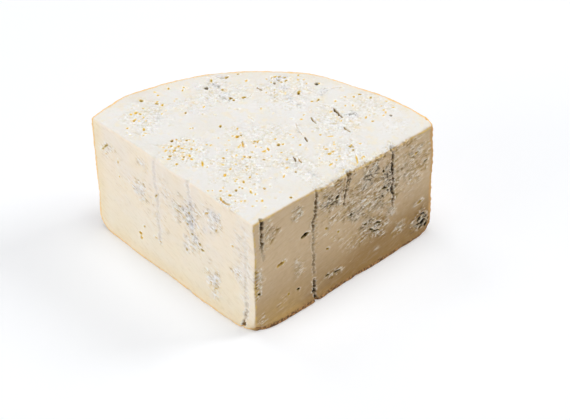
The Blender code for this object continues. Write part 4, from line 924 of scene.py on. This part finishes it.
class Shader:
    """Short names for the nodes of one material."""

    def __init__(self, name):
        self.material = bpy.data.materials.new(name)
        self.material.use_nodes = True
        self.tree = self.material.node_tree
        self.surface = self.tree.nodes["Principled BSDF"]

    def put(self, socket, value):
        if isinstance(value, bpy.types.NodeSocket):
            self.tree.links.new(value, socket)
        elif isinstance(value, tuple) and len(value) == 3 and socket.type == "RGBA":
            socket.default_value = (*value, 1.0)
        else:
            socket.default_value = value

    def field(self, name):
        node = self.tree.nodes.new("ShaderNodeAttribute")
        node.attribute_name = name
        return node.outputs["Fac"]

    def math(self, operation, first, second=0.0, clamp=False):
        node = self.tree.nodes.new("ShaderNodeMath")
        node.operation = operation
        node.use_clamp = clamp
        self.put(node.inputs[0], first)
        self.put(node.inputs[1], second)
        return node.outputs[0]

    def times(self, first, second, clamp=False):
        return self.math("MULTIPLY", first, second, clamp)

    def ramp(self, value, low, high, to_low=0.0, to_high=1.0):
        node = self.tree.nodes.new("ShaderNodeMapRange")
        node.interpolation_type = "SMOOTHSTEP"
        for name, given in (
            ("Value", value), ("From Min", low), ("From Max", high), ("To Min", to_low), ("To Max", to_high),
        ):
            self.put(node.inputs[name], given)
        return node.outputs["Result"]

    def mix(self, share, first, second, way="MIX"):
        node = self.tree.nodes.new("ShaderNodeMix")
        node.data_type = "RGBA"
        node.blend_type = way
        self.put(node.inputs[0], share)
        self.put(node.inputs[6], first)
        self.put(node.inputs[7], second)
        return node.outputs[2]

    def position(self, scale=(1.0, 1.0, 1.0), turn=(0.0, 0.0, 0.0)):
        """Object coordinates, turned and then stretched."""
        coordinates = self.tree.nodes.new("ShaderNodeTexCoord").outputs["Object"]
        turned_node = self.tree.nodes.new("ShaderNodeMapping")
        turned_node.vector_type = "POINT"
        self.put(turned_node.inputs["Vector"], coordinates)
        turned_node.inputs["Rotation"].default_value = turn
        stretched = self.tree.nodes.new("ShaderNodeMapping")
        self.put(stretched.inputs["Vector"], turned_node.outputs["Vector"])
        stretched.inputs["Scale"].default_value = scale
        return stretched.outputs["Vector"]

    def noise(self, vector, length, detail=3.0, roughness=0.55):
        """Noise around 0.5 whose lumps are about the given length in metres."""
        node = self.tree.nodes.new("ShaderNodeTexNoise")
        self.put(node.inputs["Vector"], vector)
        node.inputs["Scale"].default_value = 1.0 / length
        node.inputs["Detail"].default_value = detail
        node.inputs["Roughness"].default_value = roughness
        return node.outputs["Fac"]

    def patches(self, vector, length, detail, low, high, most=1.0, roughness=0.55):
        """Soft patches of about the given length, from 0 where the noise is low up to the most."""
        return self.ramp(self.noise(vector, length, detail, roughness), low, high, 0.0, most)

    def set_all_over(self, **values):
        """Sets what is the same all over the surface: socket names have _ for a space."""
        for name, value in values.items():
            self.surface.inputs[name.replace("_", " ")].default_value = value


# Colours of the paste and the rind, in linear light
CREAM = (0.825, 0.797, 0.742)
WHITE_CREAM = (0.835, 0.817, 0.790)
BUTTER = (0.880, 0.785, 0.590)
PEACH = (0.895, 0.785, 0.635)
PALE_PEACH = (0.850, 0.780, 0.700)
UNDER_RIND = (0.880, 0.730, 0.480)
# The right cut's tan: partly its own colour, partly painted shade
SHADED_TAN = (0.725, 0.530, 0.310)
SHADED_DEEP_TAN = (0.400, 0.230, 0.065)
GOLDEN_TAN = (0.720, 0.460, 0.150)
# Tints of the painted shade in the sunken strokes, on the top and on the cut faces
STROKE_SHADE = (0.860, 0.815, 0.700)
DEEP_STROKE_SHADE = (0.600, 0.500, 0.330)
COOL_WHITE = (0.760, 0.763, 0.775)
LILAC = (0.790, 0.760, 0.765)
# Mould colour for the right face: a shaded copy, as painted shade
SHADED_MOULD_TAN = (0.640, 0.520, 0.370)
MOULD_DARK = (0.095, 0.098, 0.090)
# Painted highlight colours: white, and tan for the shaded right face
HIGHLIGHT_WHITE = (0.985, 0.980, 0.965)
HIGHLIGHT_TAN = (1.000, 0.925, 0.800)
OCHRE = (0.860, 0.575, 0.020)
BROWN = (0.330, 0.185, 0.045)
DARK = (0.032, 0.021, 0.009)
RIND_ORANGE = (0.570, 0.330, 0.135)
RIND_TAN = (0.470, 0.310, 0.170)
RIND_GREY = (0.560, 0.500, 0.420)
RIND_BROWN = (0.150, 0.070, 0.025)
RIND_AMBER = (0.560, 0.300, 0.110)
RIND_EDGE = (0.900, 0.580, 0.230)


def drawn_out(along, drag):
    """Turns that bring the way in which the knife dragged a face to the first axis."""
    level = Matrix.Rotation(-math.atan2(along[1], along[0]), 3, "Z")
    return tuple((Matrix.Rotation(drag, 3, "Y") @ level).to_euler())


def rind_color(shader, plain, on_left, on_right, height):
    """Mottled tan, orange and brown, with an amber line where a cut crosses the rind."""
    crust = shader.mix(shader.patches(plain, 0.012, 4.0, 0.38, 0.62), RIND_TAN, RIND_ORANGE)
    crust = shader.mix(shader.patches(plain, 0.010, 5.0, 0.50, 0.74, 0.7, 0.7), crust, RIND_GREY)
    crust = shader.mix(shader.patches(plain, 0.0045, 5.0, 0.54, 0.76, 0.75, 0.75), crust, RIND_BROWN)
    foot_crust = shader.mix(shader.patches(plain, 0.0016, 3.0, 0.42, 0.60, 1.0, 0.7), RIND_BROWN, RIND_AMBER)
    cut_crust = shader.mix(shader.times(on_right, 0.6), RIND_EDGE, RIND_AMBER)
    at_foot = shader.times(on_right, shader.ramp(height, 0.20, 0.04))
    cut_crust = shader.mix(at_foot, cut_crust, foot_crust)
    cut = shader.math("ADD", on_left, on_right, clamp=True)
    cut = shader.math("MAXIMUM", cut, shader.ramp(height, 0.97, 0.995))
    return shader.mix(cut, crust, cut_crust)


def plain_paste_color(shader, plain, on_left, on_right, height):
    """Cream on the top, warmer on the left cut, golden near the rind; on the right cut tan, partly its own
    colour and partly painted shade.
    """
    far = shader.field("far")
    color = shader.mix(shader.patches(plain, 0.022, 2.0, 0.35, 0.65), CREAM, WHITE_CREAM)
    color = shader.mix(shader.patches(plain, 0.006, 3.0, 0.50, 0.70, 0.50), color, BUTTER)
    color = shader.mix(on_left, color, PEACH)
    pale_left = shader.patches(plain, 0.028, 2.0, 0.42, 0.62, 0.55)
    color = shader.mix(shader.times(on_left, pale_left), color, PALE_PEACH)
    low_down = shader.ramp(height, 0.75, 0.05, 0.0, 0.6)
    color = shader.mix(shader.times(on_left, low_down), color, BUTTER)
    color = shader.mix(shader.ramp(shader.field("under"), 0.0, 1.0, 0.0, 0.7), color, UNDER_RIND)
    # The right cut: tan paste, made darker and warmer with painted shade, as that face is turned from the
    # lamps
    color = shader.mix(on_right, color, SHADED_TAN)
    # Darker towards the foot and the far end of the right cut: partly browner paste, partly painted shade
    lower = shader.ramp(height, 0.60, 0.0, 0.0, 0.72)
    darker_low_and_far = shader.math("ADD", lower, shader.times(far, lower))
    darker_low_and_far = shader.math("ADD", darker_low_and_far, shader.times(far, 0.08))
    color = shader.mix(shader.times(on_right, darker_low_and_far, clamp=True), color, SHADED_DEEP_TAN)
    golden = shader.times(shader.ramp(height, 0.35, 0.0, 0.0, 0.55), on_right)
    golden = shader.times(golden, shader.ramp(far, 0.1, 0.0))
    return shader.mix(golden, color, GOLDEN_TAN)


def cheese_material():
    """The paste with its strokes, mould and holes, and the rind."""
    shader = Shader("gorgonzola_paste")
    plain = shader.position()
    on_left, on_right, torn, mould, height, painted_highlight, dark, rind = (
        shader.field(name) for name in ("left", "right", "torn", "mould", "height", "painted_highlight", "dark", "rind"))

    # Fine strokes: short and round on the top, drawn out on the cut faces
    strokes = shader.noise(plain, 0.0017, 2.0, 0.6)
    for face, along, drag in ((on_left, LEFT_ALONG, LEFT_DRAG), (on_right, RIGHT_ALONG, RIGHT_DRAG)):
        drawn = shader.noise(shader.position((0.26, 1.0, 1.0), drawn_out(along, drag)), 0.0015, 2.0, 0.6)
        strokes = shader.ramp(face, 0.0, 1.0, strokes, drawn)
    # Where the strokes rise a highlight is painted, where they sink painted shade, matching the bump
    bright = shader.ramp(strokes, 0.54, 0.66)
    shade = shader.ramp(strokes, 0.46, 0.34)

    color = plain_paste_color(shader, plain, on_left, on_right, height)
    # Painted shade in the sunken strokes, most where the paste is torn, deeper on the cut faces
    stroke_shade = shader.mix(shader.math("ADD", on_left, on_right, clamp=True), STROKE_SHADE, DEEP_STROKE_SHADE)
    busy = shader.ramp(torn, 0.0, 0.8, 0.12, 1.0)
    color = shader.mix(shader.times(shade, busy), color, stroke_shade, "MULTIPLY")
    blue = shader.ramp(shader.noise(plain, 0.0022, 3.0), 0.30, 0.62, 0.45, 1.0)
    blue = shader.times(mould, blue, clamp=True)
    # Mould: grey-white on the top, lilac on the left, and on the right face a shaded tan copy as painted
    # shade
    mould_color = shader.mix(on_right, shader.mix(on_left, COOL_WHITE, LILAC), SHADED_MOULD_TAN)
    color = shader.mix(blue, color, mould_color)
    inky = shader.times(shade, shader.ramp(mould, 0.25, 0.9, 0.0, 0.85))
    inky = shader.times(inky, shader.ramp(on_right, 0.0, 1.0, 0.35, 1.0))
    color = shader.mix(inky, color, MOULD_DARK)
    # Painted highlights on the risen strokes, lips and ridges: white, and tan on the right face, which is in
    # shade
    painted_glints = shader.times(bright, shader.ramp(torn, 0.0, 0.8, 0.06, 0.9))
    color = shader.mix(shader.math("MAXIMUM", painted_highlight, painted_glints), color, shader.mix(on_right, HIGHLIGHT_WHITE, HIGHLIGHT_TAN))
    color = shader.mix(shader.field("ochre"), color, OCHRE)
    color = shader.mix(shader.field("brown"), color, BROWN)
    color = shader.mix(dark, color, DARK)
    color = shader.mix(rind, color, rind_color(shader, plain, on_left, on_right, height))
    shader.put(shader.surface.inputs["Base Color"], color)

    rough = shader.ramp(rind, 0.0, 1.0, 0.46, 0.82)
    rough = shader.math("SUBTRACT", rough, shader.times(painted_highlight, 0.16))
    rough = shader.math("ADD", rough, shader.times(dark, 0.35), clamp=True)
    shader.put(shader.surface.inputs["Roughness"], rough)
    shader.set_all_over(
        Specular_IOR_Level=0.38, Subsurface_Weight=0.08, Subsurface_Radius=(1.0, 0.62, 0.34),
        Subsurface_Scale=0.0022)
    grain = shader.tree.nodes.new("ShaderNodeBump")
    grain.inputs["Strength"].default_value = 1.0
    grain.inputs["Distance"].default_value = 0.0009
    shader.put(grain.inputs["Height"], shader.times(strokes, shader.ramp(torn, 0.0, 0.8, 0.2, 1.0)))
    shader.put(shader.surface.inputs["Normal"], grain.outputs["Normal"])
    return shader.material


mesh.materials.append(cheese_material())

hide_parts("gorgonzola_wedge")
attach(cheese, "root")

# A plain white table that glows faintly, as a lit studio table does
TABLE_HALF = 4.0
floor_mesh = bpy.data.meshes.new("studio_table")
table_corners = [(u * TABLE_HALF, v * TABLE_HALF, 0.0) for u, v in ((-1, -1), (1, -1), (1, 1), (-1, 1))]
floor_mesh.from_pydata(table_corners, [], [(0, 1, 2, 3)])
floor = bpy.data.objects.new("studio_table", floor_mesh)
bpy.context.scene.collection.objects.link(floor)
table_white = Shader("studio_white")
table_white.set_all_over(
    Base_Color=(0.645, 0.66, 0.685, 1.0), Roughness=0.9, Specular_IOR_Level=0.0,
    Emission_Color=(1.0, 1.0, 1.0, 1.0), Emission_Strength=0.33)
floor_mesh.materials.append(table_white.material)

world = bpy.data.worlds.new("studio")
bpy.context.scene.world = world
world.use_nodes = True
background = world.node_tree.nodes["Background"]
background.inputs["Color"].default_value = (1.0, 0.98, 0.96, 1.0)
background.inputs["Strength"].default_value = 0.06

LAMP_DISTANCE = 2.2


def soft_light(name, toward, size, power):
    data = bpy.data.lights.new(name, "AREA")
    data.shape = "SQUARE"
    data.size = size
    data.energy = power
    lamp = bpy.data.objects.new(name, data)
    direction = Vector(toward).normalized()
    lamp.location = direction * LAMP_DISTANCE
    lamp.rotation_mode = "QUATERNION"
    lamp.rotation_quaternion = direction.to_track_quat("Z", "Y")
    bpy.context.scene.collection.objects.link(lamp)


soft_light("left_side", (-0.85, -0.45, 0.25), 1.1, 23.0)
soft_light("right_back", (0.68, 0.25, 0.69), 0.8, 21.5)
soft_light("left_back", (-0.45, 0.45, 0.77), 0.9, 6.0)
soft_light("overhead", (0.0, 0.0, 1.0), 0.9, 24.0)

# The camera stands where the photograph's stood
CAMERA_TURN = math.radians(3.294)
CAMERA_HEIGHT = math.radians(40.714)
CAMERA_ROLL = math.radians(-1.056)
CAMERA_AIM = Vector((0.01421, 0.0, 0.03627))
CAMERA_DISTANCE = 1.4638
camera_data = bpy.data.cameras.new("camera")
camera_data.lens = 150.0
camera_data.sensor_width = 36.0
camera_data.clip_start, camera_data.clip_end = 0.05, 20.0
camera = bpy.data.objects.new("camera", camera_data)
back = Vector((
    math.sin(CAMERA_TURN) * math.cos(CAMERA_HEIGHT),
    -math.cos(CAMERA_TURN) * math.cos(CAMERA_HEIGHT),
    math.sin(CAMERA_HEIGHT),
))
level = Vector((math.cos(CAMERA_TURN), math.sin(CAMERA_TURN), 0.0))
upright = back.cross(level)
right = math.cos(CAMERA_ROLL) * level + math.sin(CAMERA_ROLL) * upright
above = math.cos(CAMERA_ROLL) * upright - math.sin(CAMERA_ROLL) * level
camera.matrix_world = Matrix.Translation(CAMERA_AIM + CAMERA_DISTANCE * back) @ Matrix(
    (right, above, back)).transposed().to_4x4()
bpy.context.scene.collection.objects.link(camera)
bpy.context.scene.camera = camera
bpy.context.scene.view_settings.view_transform = "Standard"

bpy.context.view_layer.update()
